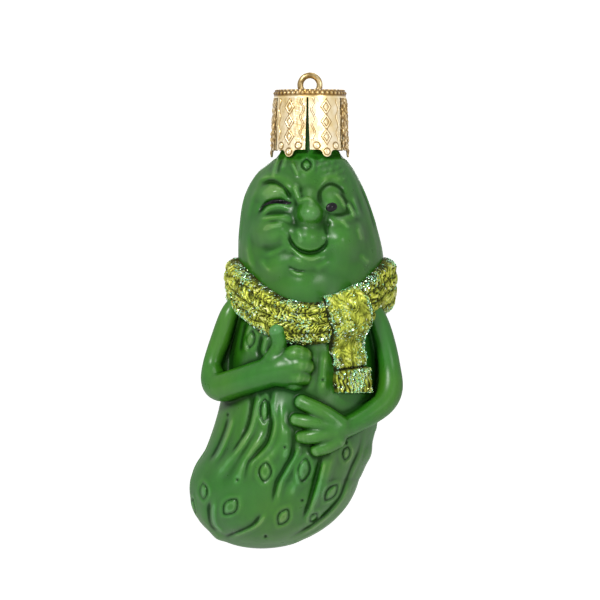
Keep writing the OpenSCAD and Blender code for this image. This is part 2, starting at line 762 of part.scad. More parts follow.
module tab_slot() {
    through_skirt()
        polygon([
            [-slot_w / 2, slot_z], [slot_w / 2, slot_z],
            [slot_end_w / 2, tip_z - overrun], [-slot_end_w / 2, tip_z - overrun]
        ]);
}

// What is cut away under a tab to leave its round corners and its tip
module tab_end() {
    steps = 6;
    reach = skirt_r * sin(180 / tabs);
    side = reach - slot_end_w / 2;
    corner = [
        for (i = [0:steps]) let (a = 90 * i / steps)
            [side - corner_r * (1 - cos(a)), edge_z + corner_r * (1 - sin(a))]
    ];
    tip = [
        for (i = [0:2 * steps]) let (a = 90 * i / steps)
            [tip_r * cos(a), tip_z + tip_r * (1 - sin(a))]
    ];
    through_skirt()
        polygon(concat(
            [[reach, tip_z - overrun], [reach, edge_z + corner_r]],
            corner,
            [[tip_r, edge_z]],
            tip,
            [[-tip_r, edge_z]],
            [for (i = [steps:-1:0]) [-corner[i][0], corner[i][1]]],
            [[-reach, edge_z + corner_r], [-reach, tip_z - overrun]]
        ));
}

// A solid pressed out of a tab's face at a sideways place and a height
module pressed(side, z) {
    out = mix(cap_r, skirt_r, (rim_z - rim_r - z) / (cap_h - rim_r));
    turn = asin(side / out);
    rotate([0, 0, turn]) translate([0, -out + sheet / 2, z]) rotate([90, 0, 0])
        linear_extrude(stud_h + sheet / 2) children();
}

module tab_relief() {
    stud_z = edge_z + stud_d;
    for (side = [-1, 1]) pressed(side * (tip_r + stud_d), stud_z) circle(d = stud_d, $fn = 24);
    pressed(0, tip_z + tip_r) circle(d = stud_d, $fn = 24);
    for (k = [0:lozenge_count - 1])
        pressed(0, mix(slot_z, stud_z, (k + 0.5) / lozenge_count))
            polygon([
                [lozenge_w / 2, 0], [0, lozenge_h / 2], [-lozenge_w / 2, 0], [0, -lozenge_h / 2]
            ]);
}

module cap() {
    color(gold) {
        difference() {
            cap_sheet();
            for (k = [0:tabs - 1]) {
                rotate([0, 0, cap_turn + 360 * k / tabs]) tab_slot();
                rotate([0, 0, cap_turn + 360 * (k + 0.5) / tabs]) tab_end();
            }
            for (side = [-1, 1])
                translate([side * leg_x, 0, plate_z - sheet - overrun])
                    cylinder(d = wire_d + 2 * hole_gap, h = rim_h + sheet + 2 * overrun, $fn = 48);
        }
        for (k = [0:tabs - 1]) rotate([0, 0, cap_turn + 360 * (k + 0.5) / tabs]) tab_relief();
    }
}

// The hanger's wire lies in the XZ plane. Its loop turns past a half circle at each side, bends back
// and drops through the cap; below, each leg spreads to the bore, follows it and turns in.
loop_turn = 31;
spread_turn = 40;
toe_turn = 24;
loop_r = loop_d / 2;
wire_r = wire_d / 2;
leg_x = (loop_r + bend_r) * cos(loop_turn) - bend_r;
shank_z = -(loop_r + bend_r) * sin(loop_turn);
press_x = bore_r - leg_gap - wire_r;
lap = 0.03;             // how far the ball at a joint of the wire stands out
slant_h = (press_x - leg_x - 2 * bend_r * (1 - cos(spread_turn))) / sin(spread_turn);

// An arc of wire about a point of the XZ plane, from one angle to another
module wire_arc(x, z, r, from, to) {
    translate([x, 0, z]) rotate([90, 0, 0]) rotate([0, 0, from])
        rotate_extrude(angle = to - from, $fn = round_steps) translate([r, 0]) circle(r = wire_r, $fn = 32);
}

// A straight length of wire that starts at a point and leans outward by an angle from straight down
module wire_run(x, z, lean, h) {
    translate([x, 0, z]) rotate([0, 180 - lean, 0]) cylinder(r = wire_r, h = h, $fn = 32);
}

// A ball that joins two lengths of wire
module wire_joint(x, z) {
    translate([x, 0, z]) sphere(r = wire_r + lap, $fn = 32);
}

module hanger_leg() {
    start_x = (loop_r + bend_r) * cos(loop_turn);
    bend_z = shank_z - shank_h;
    slant_x = leg_x + bend_r * (1 - cos(spread_turn));
    slant_z = bend_z - bend_r * sin(spread_turn);
    slant_end_z = slant_z - slant_h * cos(spread_turn);
    press_z = slant_end_z - bend_r * sin(spread_turn);
    toe_z = press_z - press_h;
    toe_x = press_x - bend_r * (1 - cos(toe_turn));
    toe_end_z = toe_z - bend_r * sin(toe_turn);
    wire_joint(loop_r * cos(loop_turn), -loop_r * sin(loop_turn));
    wire_arc(start_x, shank_z, bend_r, 180 - loop_turn, 180);
    wire_joint(leg_x, shank_z);
    wire_run(leg_x, shank_z, 0, shank_h);
    wire_joint(leg_x, bend_z);
    wire_arc(leg_x + bend_r, bend_z, bend_r, 180, 180 + spread_turn);
    wire_joint(slant_x, slant_z);
    wire_run(slant_x, slant_z, spread_turn, slant_h);
    wire_joint(press_x - bend_r * (1 - cos(spread_turn)), slant_end_z);
    wire_arc(press_x - bend_r, press_z, bend_r, 0, spread_turn);
    wire_joint(press_x, press_z);
    wire_run(press_x, press_z, 0, press_h);
    wire_joint(press_x, toe_z);
    wire_arc(press_x - bend_r, toe_z, bend_r, -toe_turn, 0);
    wire_joint(toe_x, toe_end_z);
    wire_run(toe_x, toe_end_z, -toe_turn, toe_h);
}

module hanger_wire() {
    color(gold) {
        wire_arc(0, 0, loop_r, -loop_turn, 180 + loop_turn);
        hanger_leg();
        mirror([1, 0, 0]) hanger_leg();
    }
}

glass_body();
scarf_wrap();
scarf_tail();
scarf_glitter();
open_eye_enamel();
wink_enamel();
cap();
hanger_wire();
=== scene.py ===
"""Looks of the pickle ornament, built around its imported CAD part.

Lengths are millimetres until a mesh is made, in the part's own frame: the origin is the centre of the
hanging loop, +Z goes up and the face looks along -Y. The sculpted body is a field of distances on a grid,
joined and carved piece by piece and then turned into a mesh. A place on the front may be given as a pixel
of the 600 x 600 photograph, which spot() turns into millimetres.
"""

import math

import bpy
import numpy as np
import openvdb
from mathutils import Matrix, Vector
from mathutils.bvhtree import BVHTree
from mathutils.geometry import delaunay_2d_cdt


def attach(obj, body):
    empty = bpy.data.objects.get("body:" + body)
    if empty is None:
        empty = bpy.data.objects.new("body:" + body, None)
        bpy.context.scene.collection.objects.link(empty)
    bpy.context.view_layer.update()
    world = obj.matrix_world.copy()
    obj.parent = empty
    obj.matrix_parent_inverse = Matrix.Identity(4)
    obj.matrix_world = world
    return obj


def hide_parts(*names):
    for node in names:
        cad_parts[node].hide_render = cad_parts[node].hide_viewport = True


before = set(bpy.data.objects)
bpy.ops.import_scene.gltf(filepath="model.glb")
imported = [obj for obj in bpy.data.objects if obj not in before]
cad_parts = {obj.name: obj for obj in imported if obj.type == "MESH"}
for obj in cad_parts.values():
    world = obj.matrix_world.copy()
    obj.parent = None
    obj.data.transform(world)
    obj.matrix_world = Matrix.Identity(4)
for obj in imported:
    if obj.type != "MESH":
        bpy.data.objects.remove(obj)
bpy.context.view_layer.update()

MM = 0.001
PIXEL = 0.2278  # millimetres of the object in one pixel of the photograph
ORIGIN_PIXEL = (310.0, 85.0)
VOXEL = 0.3

# The pickle: sizes and tables as in the CAD source
FIGURE_H, FIGURE_W, FIGURE_D = 88.5, 39.0, 34.0
SHOULDER_Z, SHOULDER_R = -17.0, 8.42
NECK_Z, NECK_R, BORE_R, FLARE_H, FLARE_TURN = -2.01, 6.3, 5.3, 3.6, math.radians(62)
BORE_LOW = -19.0
END_SHARE, END_LEAN = 0.822, -0.078
FIGURE_SHARES = (
    (0, 0, 0, 0),
    (0.035, -0.02, 0.26, 0.28),
    (0.095, -0.026, 0.5, 0.54),
    (0.18, -0.01, 0.665, 0.76),
    (0.255, 0.005, 0.735, 0.84),
    (0.335, 0.004, 0.7, 0.8),
    (0.44, -0.018, 0.76, 0.86),
    (0.55, -0.038, 0.81, 0.92),
    (0.635, -0.058, 0.905, 0.98),
    (0.74, -0.123, 0.945, 1),
    (0.785, -0.17, 1, 1),
    (0.822, -0.207, 0.98, 0.97),
)

# The scarf, as in the CAD source
SCARF_T, SCARF_FRONT_T, SCARF_H, SCARF_DROP = 3.7, 3.0, 10.2, 10.2
SCARF_SHARE, FRONT_RISE_SHARE, SIDE_DROP_SHARE = 0.256, 0.12, 0.16
TAIL_TOP_TURN, TAIL_LOW_TURN = math.radians(23), math.radians(39)
TAIL_W, TAIL_LOW, TAIL_T, HEM_H = 11.0, 52.8, 1.8, 5.0

# The cap, as in the CAD source
RIM_Z, PLATE_Z, TIP_Z, EDGE_Z = -1.1, -1.6, -16.5, -14.9
CAP_R, SKIRT_R, RIM_R, SHEET = 8.2, 8.8, 1.1, 0.35
SLOT_Z, SLOT_W, SLOT_END_W = -3.0, 0.4, 1.2
TABS, CAP_TURN = 6, math.radians(-4)
TIP_R, CORNER_R = 1.1, 1.0
LEG_X, LEG_HOLE_R = 1.714, 0.78

# Fineness: gaps between the points of a drawn line, of a limb's axis and of the knit
LINE_GAP, WINK_GAP, LIMB_GAP = 0.15, 0.12, 0.5
KNIT_GAP = 0.13


def ease(t):
    """0 to 1, level at both ends."""
    c = np.clip(t, 0, 1)
    return c * c * (3 - 2 * c)


def mix(a, b, t):
    return a + (b - a) * t


def spot(px, py):
    """Sideways and height in millimetres of a pixel of the photograph."""
    return (px - ORIGIN_PIXEL[0]) * PIXEL, (ORIGIN_PIXEL[1] - py) * PIXEL


def along(table, v):
    """Smooth curve through a table whose first column rises."""
    t = np.array(table, float)
    slopes = np.empty_like(t)
    for i in range(len(t)):
        a, b = t[max(0, i - 1)], t[min(len(t) - 1, i + 1)]
        slopes[i] = (b - a) / (b[0] - a[0])
    v = np.asarray(v, float)
    i = np.clip(np.searchsorted(t[:, 0], v, side="right") - 1, 0, len(t) - 2)
    d = (t[i + 1, 0] - t[i, 0])[..., None]
    u = (v - t[i, 0])[..., None] / d
    return (
        t[i] * (2 * u**3 - 3 * u**2 + 1)
        + t[i + 1] * (3 * u**2 - 2 * u**3)
        + d * (slopes[i] * (u**3 - 2 * u**2 + u) + slopes[i + 1] * (u**3 - u**2))
    )


def core(v):
    """Lean, half width, half depth and skin tilt of the bare pickle at shares of its height."""
    v = np.asarray(v, float)
    k = along(FIGURE_SHARES, np.clip(v, 0, END_SHARE))
    t = np.arcsin(np.clip((v - END_SHARE) / (1 - END_SHARE), 0, 1))
    lean = FIGURE_W * (k[..., 1] + END_LEAN * np.sin(t))
    wide, deep = mix(SHOULDER_R, FIGURE_W / 2, k[..., 2]), mix(SHOULDER_R, FIGURE_D / 2, k[..., 3])
    return lean, wide, deep, t


def skin(turn, v, h):
    """Points on the pickle at angles from its front and shares of its height, h outside its core."""
    lean, wide, deep, t = core(v)
    c, out = np.cos(t), h * np.cos(t)
    x, y = lean + (wide * c + out) * np.sin(turn), -(deep * c + out) * np.cos(turn)
    return np.stack(np.broadcast_arrays(x, y, SHOULDER_Z - FIGURE_H * v - h * np.sin(t)), -1)


def front_y(x, z):
    """Depth of the bare pickle's front at a place seen from the front."""
    lean, wide, deep, t = (float(a) for a in core((SHOULDER_Z - z) / FIGURE_H))
    side = (x - lean) / (wide * math.cos(t))
    return -deep * math.cos(t) * math.sqrt(max(0.0, 1 - side * side))


def curve(points, gap=LINE_GAP):
    """Points a small gap apart on a smooth curve through the given ones."""
    p = np.array(points, float)
    p = np.concatenate([[2 * p[0] - p[1]], p, [2 * p[-1] - p[-2]]])
    out = []
    for i in range(1, len(p) - 2):
        a, b, c, d = p[i - 1 : i + 3]
        n = max(2, int(np.linalg.norm(c - b) / gap))
        u = np.arange(n)[:, None] / n
        square, cube = 2 * a - 5 * b + 4 * c - d, 3 * b - a - 3 * c + d
        out.append(0.5 * (2 * b + (c - a) * u + square * u**2 + cube * u**3))
    return np.concatenate([*out, p[-2:-1]])


# A stroke fades in over the first share of its route and out over the last, from a start on that fade
STROKE_FADE, STROKE_START = 0.25, 0.12
DOME_POWER = 2.5
GROOVE_W, LIP_AWAY, LIP_W = 0.22, 0.6, 0.45  # a wart's groove and the swollen lip round it


class Relief:
    """A map of heights over the front, seen straight on, or over the unrolled sides and back."""

    def __init__(self, x, z):
        self.x, self.z = x[:, None], z[None, :]
        self.h = np.zeros((len(x), len(z)), np.float32)

    def window(self, low, high):
        i = np.searchsorted(self.x[:, 0], (low[0], high[0]))
        k = np.searchsorted(self.z[0], (low[1], high[1]))
        return slice(max(0, i[0] - 1), i[1] + 1), slice(max(0, k[0] - 1), k[1] + 1)

    def stroke(self, pixels, width, height):
        """A ridge along pixels or, with a height below 0, a groove. Its ends fade out."""
        points = curve([spot(*p) for p in pixels])
        t = np.linspace(0, 1, len(points))
        weight = ease(np.minimum(t, 1 - t) / STROKE_FADE + STROKE_START)
        at = self.window(points.min(0) - 3 * width, points.max(0) + 3 * width)
        best = np.zeros(self.h[at].shape)
        for p, w in zip(points, weight):
            away = (self.x[at[0]] - p[0]) ** 2 + (self.z[:, at[1]] - p[1]) ** 2
            np.maximum(best, w * np.exp(-away / width**2), out=best)
        self.h[at] += height * best

    def local(self, pixel, size, tilt):
        """Window around a pixel, and there the places along and across a tilted ellipse, 1 at its edge."""
        centre, reach = np.array(spot(*pixel)), 2.2 * max(size)
        at = self.window(centre - reach, centre + reach)
        x, z = self.x[at[0]] - centre[0], self.z[:, at[1]] - centre[1]
        c, s = math.cos(math.radians(tilt)), math.sin(math.radians(tilt))
        return at, (x * c + z * s) / size[0], (z * c - x * s) / size[1]

    def dome(self, pixel, size, height, tilt):
        """A rounded swelling with its half width and half height."""
        at, u, w = self.local(pixel, size, tilt)
        self.h[at] += height * np.clip(1 - u * u - w * w, 0, 1) ** DOME_POWER

    def wart(self, pixel, size, tilt, height=0.32, depth=0.22):
        """A flat swelling inside a ring-shaped groove, pointed at its upper and lower end."""
        at, u, w = self.local(pixel, size, tilt)
        q = np.sqrt(w * w + 0.02) + u * u
        away = (q - 1) / np.sqrt(1 / size[1] ** 2 + (2 * u / size[0]) ** 2)
        self.h[at] += height * ease((0.1 - away) / 0.9) - depth * bump(away, GROOVE_W)
        self.h[at] += 0.5 * height * bump(away - LIP_AWAY, LIP_W)

    def dot(self, pixel, r=0.35, depth=0.5):
        """A small round pit."""
        at, u, w = self.local(pixel, (3 * r, 3 * r), 0)
        self.h[at] -= depth * np.exp(-9 * (u * u + w * w))


class Clay:
    """Distances to a surface on a regular grid, below 0 inside it."""

    def __init__(self, low, high, step):
        self.low, self.step = np.array(low, float), step
        self.axes = [np.arange(a, b, step) for a, b in zip(low, high)]
        self.x, self.y, self.z = np.ix_(*self.axes)
        self.d = None

    def start(self, value):
        """Takes a field that is 0 on the surface and turns it into distances."""
        slope = np.sqrt(sum(g * g for g in np.gradient(value, self.step)))
        self.d = (value / np.maximum(slope, 1e-3)).astype(np.float32)

    def window(self, low, high):
        return tuple(
            slice(max(0, int((a - o) / self.step) - 1), max(1, int((b - o) / self.step) + 2))
            for a, b, o in zip(low, high, self.low)
        )

    def join(self, shape, low, high, soft):
        """Joins a shape that lies between two corners to the clay, with a soft transition."""
        s = self.window(low - soft - 0.5, high + soft + 0.5)
        own, other = self.d[s], shape(self.x[s[0]], self.y[:, s[1]], self.z[:, :, s[2]])
        h = np.maximum(soft - np.abs(own - other), 0) / soft
        self.d[s] = np.minimum(own, other) - h * h * soft / 4

    def ball(self, centre, radii, soft):
        """An ellipsoid."""
        c, r = np.array(centre, float), np.array(radii, float)

        def shape(*place):
            away = [p - q for p, q in zip(place, c)]
            k = np.sqrt(sum((a / q) ** 2 for a, q in zip(away, r)))
            slope = np.sqrt(sum((a / q**2) ** 2 for a, q in zip(away, r)))
            return k * (k - 1) / np.maximum(slope, 1e-4)

        self.join(shape, c - r.max(), c + r.max(), soft)

    def limb(self, rows, soft):
        """A tube along a smooth curve, from rows of pixel, depth and radius."""
        places = [(*spot(px, py), y, r) for px, py, y, r in rows]
        p = curve([(x, y, z, r) for x, z, y, r in places], LIMB_GAP)

        def shape(*place):
            nearest = np.inf
            for a, b in zip(p[:-1], p[1:]):
                leg = b[:3] - a[:3]
                away = [q - o for q, o in zip(place, a)]
                t = np.clip(sum(q * s for q, s in zip(away, leg)) / max(leg @ leg, 1e-9), 0, 1)
                distance = np.sqrt(sum((q - t * s) ** 2 for q, s in zip(away, leg)))
                nearest = np.minimum(nearest, distance - mix(a[3], b[3], t))
            return nearest

        r = p[:, 3].max()
        self.join(shape, p[:, :3].min(0) - r, p[:, :3].max(0) + r, soft)

    def mesh(self):
        """Points and four-sided faces of the surface."""
        band = 3 * self.step
        grid = openvdb.FloatGrid(band)
        grid.copyFromArray(np.clip(self.d, -band, band).astype(np.float32))
        grid.transform = openvdb.createLinearTransform(voxelSize=self.step)
        points, quads = grid.convertToQuads(isovalue=0.0)
        return np.array(points) + self.low, np.array(quads)

    def blurred(self, reach):
        """The field averaged over a box that reaches so far each way."""
        n = max(1, round(reach / self.step))
        out = np.clip(self.d, -2, 2).astype(np.float32)
        for axis in range(3):
            pad = [(n + 1, n) if a == axis else (0, 0) for a in range(3)]
            total = np.cumsum(np.pad(out, pad, "edge"), axis)
            size = out.shape[axis]
            high, low = (np.take(total, range(k, k + size), axis) for k in (2 * n + 1, 0))
            out = (high - low) / (2 * n + 1)
        return out

    def sample(self, values, points):
        """Values of a field at points, mixed from the eight grid places around each."""
        at = np.clip((points - self.low) / self.step, 0, np.array(values.shape) - 1.001)
        i = at.astype(int)
        f = at - i
        out = np.zeros(len(points))
        for k in range(8):
            o = np.array([k & 1, k >> 1 & 1, k >> 2 & 1])
            w = np.prod(np.where(o, f, 1 - f), axis=1)
            j = i + o
            out += w * values[j[:, 0], j[:, 1], j[:, 2]]
        return out


# Lines of the face, in pixels of the photograph: width and height in millimetres, then the route
FACE_LINES = (
    (0.5, -0.4, (262, 187), (271, 182.5), (281, 186), (287.5, 193), (291.5, 203)),
    (0.35, -0.35, (277, 184), (285, 189.5), (290.5, 199)),
    (0.95, 0.5, (256, 185), (269, 177), (284, 180), (296, 192)),
    (0.6, 0.6, (294, 188), (296.5, 195), (299, 203)),
    (0.5, -0.9, (259, 214), (265, 206), (272, 202.5), (281, 201.8), (292, 205)),
    (0.55, 0.36, (260, 218), (268, 209.5), (280, 206.5), (290, 210)),
    (0.9, -0.12, (263, 217), (272, 215.5), (282, 214.5), (292, 216.5)),
    (0.9, 0.55, (262, 225), (273, 226), (284, 221), (294, 219)),
    (0.8, -0.24, (261, 247.5), (268, 246.5), (277, 243), (286, 234)),
    (0.5, 0.35, (265, 256), (276, 252), (286, 247)),
    (0.38, -0.85, (289, 232), (290.5, 241), (296, 248.5), (304, 252.5), (311.5, 253.3), (319, 251),
     (325.5, 245), (327, 237)),
    (0.7, 0.3, (284, 233), (285, 243), (291, 252)),
    (0.3, -0.16, (286.5, 264), (292, 268.7), (299, 271.5), (306, 271)),
    (0.45, 0.45, (291, 246), (297, 253.5), (304, 257.8), (312, 259.6), (320, 257.5), (326, 255)),
    (0.6, 0.3, (293, 258.5), (298, 260.5), (302, 262)),
    (0.7, 0.36, (317, 268.5), (322, 266), (327, 263)),
    (0.45, -0.5, (320, 204), (319.5, 194), (325, 187), (332, 185), (340, 189), (346.5, 198)),
    (0.42, 0.9, (347, 204), (351, 210), (354.5, 217)),
    (0.4, 0.6, (335.5, 194), (341, 200), (346, 210)),
    (0.42, -0.28, (338, 193), (344.5, 201), (349, 211)),
    (0.5, 0.45, (352, 197), (355.5, 207), (359, 218)),
    (0.4, -0.2, (323, 211), (330, 214), (341, 215.5), (350, 214)),
    (0.85, 0.6, (326, 220), (338, 221.5), (349, 218), (358, 214)),
    (0.85, 0.5, (321, 182), (331, 177), (343, 181)),
    (0.5, 0.3, (357, 224), (361, 233), (362, 242)),
    (0.5, -0.35, (329, 222), (326, 229), (327, 236)),
    (0.4, 0.42, (279, 157), (275, 167), (273, 177)),
    (0.35, 0.36, (287, 155), (284, 163), (282, 170)),
    (0.35, 0.55, (292, 163), (295, 170), (298.5, 177)),
    (0.4, -0.12, (283, 158), (280, 168), (278, 176)),
    (0.5, -0.16, (300, 155), (300, 163), (302, 172)),
    (0.45, -0.16, (316, 156), (317, 165), (315, 175)),
    (0.5, 0.3, (344, 160), (354, 176), (361, 195), (366, 214)),
    (0.6, 0.35, (358, 183), (368, 208), (375, 236), (379, 260)),
    (0.8, -0.15, (354, 186), (364, 212), (370, 240), (373, 262)),
    (0.4, 0.45, (297, 204), (303, 200.5), (309.5, 200), (315.5, 206)),
    (0.6, 0.5, (295.5, 186), (297, 192), (298, 198)),
    (0.5, 0.45, (342, 222), (345, 225), (348, 228)),
    (0.6, 0.4, (361, 256), (365, 260), (369, 263)),
    (0.45, 0.45, (259, 219.5), (269, 218), (280, 217), (290, 216.5)),
    (0.4, -0.25, (261, 226), (271, 222.5), (283, 222), (291, 225)),
    (0.4, 0.45, (263, 231), (273, 227.5), (283, 226.5)),
    (0.7, 0.35, (261, 261), (265, 266), (270, 272)),
    (0.6, 0.4, (298, 230), (299.5, 237), (301, 243)),
    (0.45, 0.4, (357, 229), (359, 236), (360, 240)),
    (0.45, 0.35, (246, 246), (248, 258), (250, 268)),
    (0.5, -0.3, (259, 183), (268, 181), (278, 183)),
    (0.35, 0.4, (290, 270.5), (297, 274), (304.5, 274.3)),
    (0.6, 0.3, (247, 232), (249, 250), (254, 272)),
    (0.5, 0.25, (262, 180), (252, 200), (246, 222)),
)
FACE_LINE_WIDTH, FACE_LINE_HEIGHT = 1.1, 0.82
# Swellings of the face: place, half width, half height, height and tilt
FACE_DOMES = (
    ((272, 231), 6.4, 5.0, 2.1, -8),
    ((344, 239), 6.0, 6.6, 2.1, 8),
    ((307, 237), 5.6, 4.9, 1.7, 0),
    ((301, 285), 7.4, 4.8, 1.0, 0),
    ((305, 262), 5.6, 2.6, 0.55, 0),
    ((272, 192.5), 5.2, 2.8, 1.6, 12),
    ((332, 205), 3.9, 4.0, 1.2, 0),
    ((308.5, 203), 3.3, 4.2, 1.5, 0),
    ((337, 264), 5.0, 3.6, 0.5, -20),
    ((276, 266), 5.0, 3.8, 0.5, 20),
)
# The ringed wart on the brow, the pits in it and the rough patch of small dots over the open eye
BROW_WART, BROW_PITS = (306.5, 165.5), ((306.5, 163.6), (306.5, 167.6))
BROW_DOTS = (
    (322, 160), (327, 164), (333, 162), (338, 167), (331, 170), (325, 172), (337, 174), (342, 171),
    (319, 167), (344, 179),
)
NOSE_PIXEL, NOSE_RADII, NOSE_SINK = (310, 214.5), (2.6, 2.9, 2.5), 0.8

# The pickle's long creases and the ridges between them
BODY_CREASES = (
    ((253, 388), (252, 404), (248, 424), (240, 440), (229, 456)),
    ((271, 388), (269, 406), (270.5, 424), (266, 441), (256, 453), (248, 462), (244, 478)),
    ((293, 438), (292, 452), (284, 467), (276, 482), (272, 502)),
    ((321, 452), (318, 466), (314, 482), (309, 500), (302, 518)),
    ((362, 430), (358, 450), (350, 468), (344, 484), (338, 498), (326, 512), (310, 525), (288, 537)),
    ((370, 425), (367, 445), (360, 461), (353, 476), (345, 490)),
    ((229, 414), (223.5, 432), (216, 449), (208, 462)),
    ((210, 500), (209, 512), (211, 524), (219, 533)),
    ((262, 511), (253, 523), (238, 531), (224, 536)),
    ((246, 322), (243, 336), (240, 352)),
    ((262, 335), (259, 350), (262, 360)),
)
FOLD_ASIDE = 5.0  # pixels from a crease to the sharp fold on its right
# Width and height in millimetres of what is drawn along the routes of the front and of the back
CREASE, CREASE_CORE, FOLD, RIDGE = (1.0, -0.42), (0.34, -0.22), (0.6, 0.45), (1.2, 0.75)
BACK_CREASE, BACK_CREASE_CORE, STREAK, STREAK_RIDGE = (1.25, -0.55), (0.65, -0.25), (0.7, -0.25), (0.8, 0.2)
BODY_RIDGES = (
    ((248, 430), (232, 455), (216, 477)),
    ((263, 432), (246, 460), (234, 486)),
    ((281, 400), (282, 424), (277, 446), (262, 462)),
    ((306, 456), (298, 476), (290, 496)),
    ((338, 440), (330, 462), (322, 486), (312, 504)),
    ((287, 424), (286, 446), (284, 458)),
    ((325, 352), (323, 374), (322, 392)),
    ((312, 350), (312.5, 368), (310, 388)),
)
# Warts of the front: pixel, half length, half width and tilt
BODY_WARTS = (
    ((251, 339), 2.0, 0.95, 80),
    ((204, 490), 1.9, 0.85, 92),
    ((231, 505), 2.3, 1.5, 50),
    ((265.5, 470), 2.3, 1.4, 84),
    ((304, 468), 2.8, 1.35, 80),
    ((265, 409.5), 2.7, 1.0, 88),
    ((331, 491), 2.3, 1.05, 52),
    ((283.5, 515), 2.1, 1.2, 60),
    ((313.5, 516), 1.2, 0.7, 50),
    ((346, 452), 1.6, 0.8, 78),
)
# Lumps in the outline of the lower end: pixel, half width and half height in millimetres
EDGE_LUMPS = (
    ((221, 529.5), 1.8, 2.2), ((262, 537), 7.8, 1.9), ((362.5, 451), 1.8, 2.2), ((352, 470), 1.7, 2.0),
    ((343, 487), 1.6, 1.9), ((331, 504), 1.7, 1.9),
)
# Small round pits of the front
BODY_DOTS = ((285, 445.5), (302.3, 498.5), (265.7, 534.7), (346, 441.5), (322.5, 379), (228, 414), (238, 478))

# The same all round the sides and the back: angle from the front and share of the figure's height
UNROLL_R = 17.0
BACK_CREASES = (
    ((93, 0.52), (88, 0.66), (95, 0.8), (90, 0.93)),
    ((118, 0.48), (113, 0.62), (121, 0.78), (116, 0.94)),
    ((144, 0.54), (148, 0.7), (139, 0.88)),
    ((171, 0.5), (165, 0.64), (173, 0.8), (167, 0.94)),
    ((-163, 0.53), (-160, 0.68), (-169, 0.86)),
    ((-141, 0.49), (-147, 0.64), (-138, 0.8), (-143, 0.93)),
    ((-117, 0.54), (-111, 0.7), (-119, 0.9)),
    ((-90, 0.64), (-85, 0.77), (-92, 0.93)),
)
# Short streaks of the back of the head: angle, share and length as a share
BACK_STREAKS = (
    (72, 0.06, 0.13), (98, 0.04, 0.1), (121, 0.09, 0.14), (149, 0.05, 0.12), (168, 0.1, 0.13),
    (-158, 0.05, 0.11), (-132, 0.1, 0.12), (-108, 0.05, 0.13), (-84, 0.08, 0.14),
)
# Warts: angle, share, half length and tilt
BACK_WARTS = (
    (-130, 0.6, 2.2, 84), (172, 0.57, 1.9, 97), (140, 0.64, 2.4, 80), (102, 0.86, 2.1, 70),
    (-104, 0.8, 2.3, 95), (-150, 0.88, 2.2, 105), (155, 0.9, 2.0, 75), (-75, 0.89, 1.9, 60),
    (80, 0.66, 2.2, 100), (-175, 0.75, 2.3, 88), (127, 0.5, 1.8, 92), (-122, 0.2, 1.5, 80),
    (158, 0.16, 1.4, 95),
)

# Routes of the limbs: pixel, depth in millimetres and radius
LEFT_ARM = (
    (237, 300, -4.6, 1.5), (229.5, 314, -5.4, 2.1), (221, 338, -5.0, 2.25), (212.5, 363, -5.2, 2.1),
    (214.5, 380, -6.6, 3.0), (222, 386.5, -8.6, 3.3), (238, 382, -11.2, 3.3), (258, 375.5, -14.0, 3.4),
    (276, 370, -15.8, 3.4), (288, 367, -16.6, 3.1),
)
# Glass between the bent arms and the body
WEBS = (
    ((229, 328, -1.6, 2.0), (223, 344, -0.8, 2.9), (219.5, 360, -1.0, 3.2), (220, 375, -2.6, 2.6)),
    ((376, 330, -3.2, 2.0), (382, 349, -1.4, 2.8), (384.5, 370, -1.4, 3.0), (382, 389, -3.0, 2.5)),
)
RIGHT_ARM = (
    (369, 306, -9.5, 2.2), (378, 322, -8.2, 2.3), (384.5, 343, -7.0, 2.4), (389, 366, -6.8, 2.5),
    (389.7, 387, -7.6, 2.9), (384, 401, -9.0, 2.8), (371, 412, -10.9, 2.6), (356, 421, -13.2, 2.3),
    (342, 427, -15.2, 2.4), (331, 428, -16.2, 2.5),
)
THUMB = (
    (274, 362, -15.6, 2.8), (277.5, 352, -16.4, 2.0), (279.5, 342, -17.0, 1.65), (277, 331.5, -17.3, 1.75),
)
# Fingers of the closed hand and of the open one
FIST = (
    ((287, 358, -16.6, 2.3), (296, 354.5, -17.6, 2.3), (303, 355.5, -17.2, 2.0)),
    ((289, 366.5, -17.2, 2.2), (299, 364, -18.0, 2.2), (306, 366, -17.2, 1.8)),
    ((289, 375, -17.0, 2.1), (297, 375, -17.6, 2.0), (304.5, 377, -16.8, 1.6)),
    ((290, 382, -16.0, 1.6), (295, 383.5, -16.4, 1.5), (299, 384, -16.0, 1.3)),
)
FINGERS = (
    ((338, 424, -16.0, 2.4), (325, 413.5, -17.0, 2.05), (312, 406, -17.4, 1.8), (302, 401, -17.0, 1.65)),
    ((334, 427, -16.4, 2.2), (319, 422, -17.4, 1.85), (306, 420, -17.6, 1.6), (296, 418.5, -17.0, 1.4)),
    ((333, 431, -16.4, 2.2), (320, 433, -17.4, 1.9), (309, 435, -17.4, 1.7), (301.5, 435.5, -16.8, 1.45)),
    ((336, 438, -16.0, 2.1), (326, 444.5, -16.6, 1.75), (316.5, 448.5, -16.4, 1.45)),
)
# Balls of the two hands: pixel, depth, then radii sideways, in depth and upright
HAND_BALLS = (
    (285, 368, -16.6, 3.7, 2.9, 4.0),
    (332, 428, -16.0, 3.6, 2.3, 3.4),
)
# How softly each form flows into the rest, in millimetres
NOSE_SOFT, WEB_SOFT, ARM_SOFT, LUMP_SOFT = 2.1, 2.0, 1.1, 1.4
BALL_SOFT, THUMB_SOFT, FINGER_SOFT = 0.8, 0.5, 0.45
LUMP_Y = -1.5
CLAY_LOW, CLAY_HIGH = (-28.2, -22.2, -105.9), (21.6, 20.1, -1.2)
# The photograph's relief fades in from the first cosine of the angle from the front, over the second
FRONT_FROM, FRONT_OVER = 0.3, 0.36


def bump(distance, width):
    return np.exp(-((distance / width) ** 2))


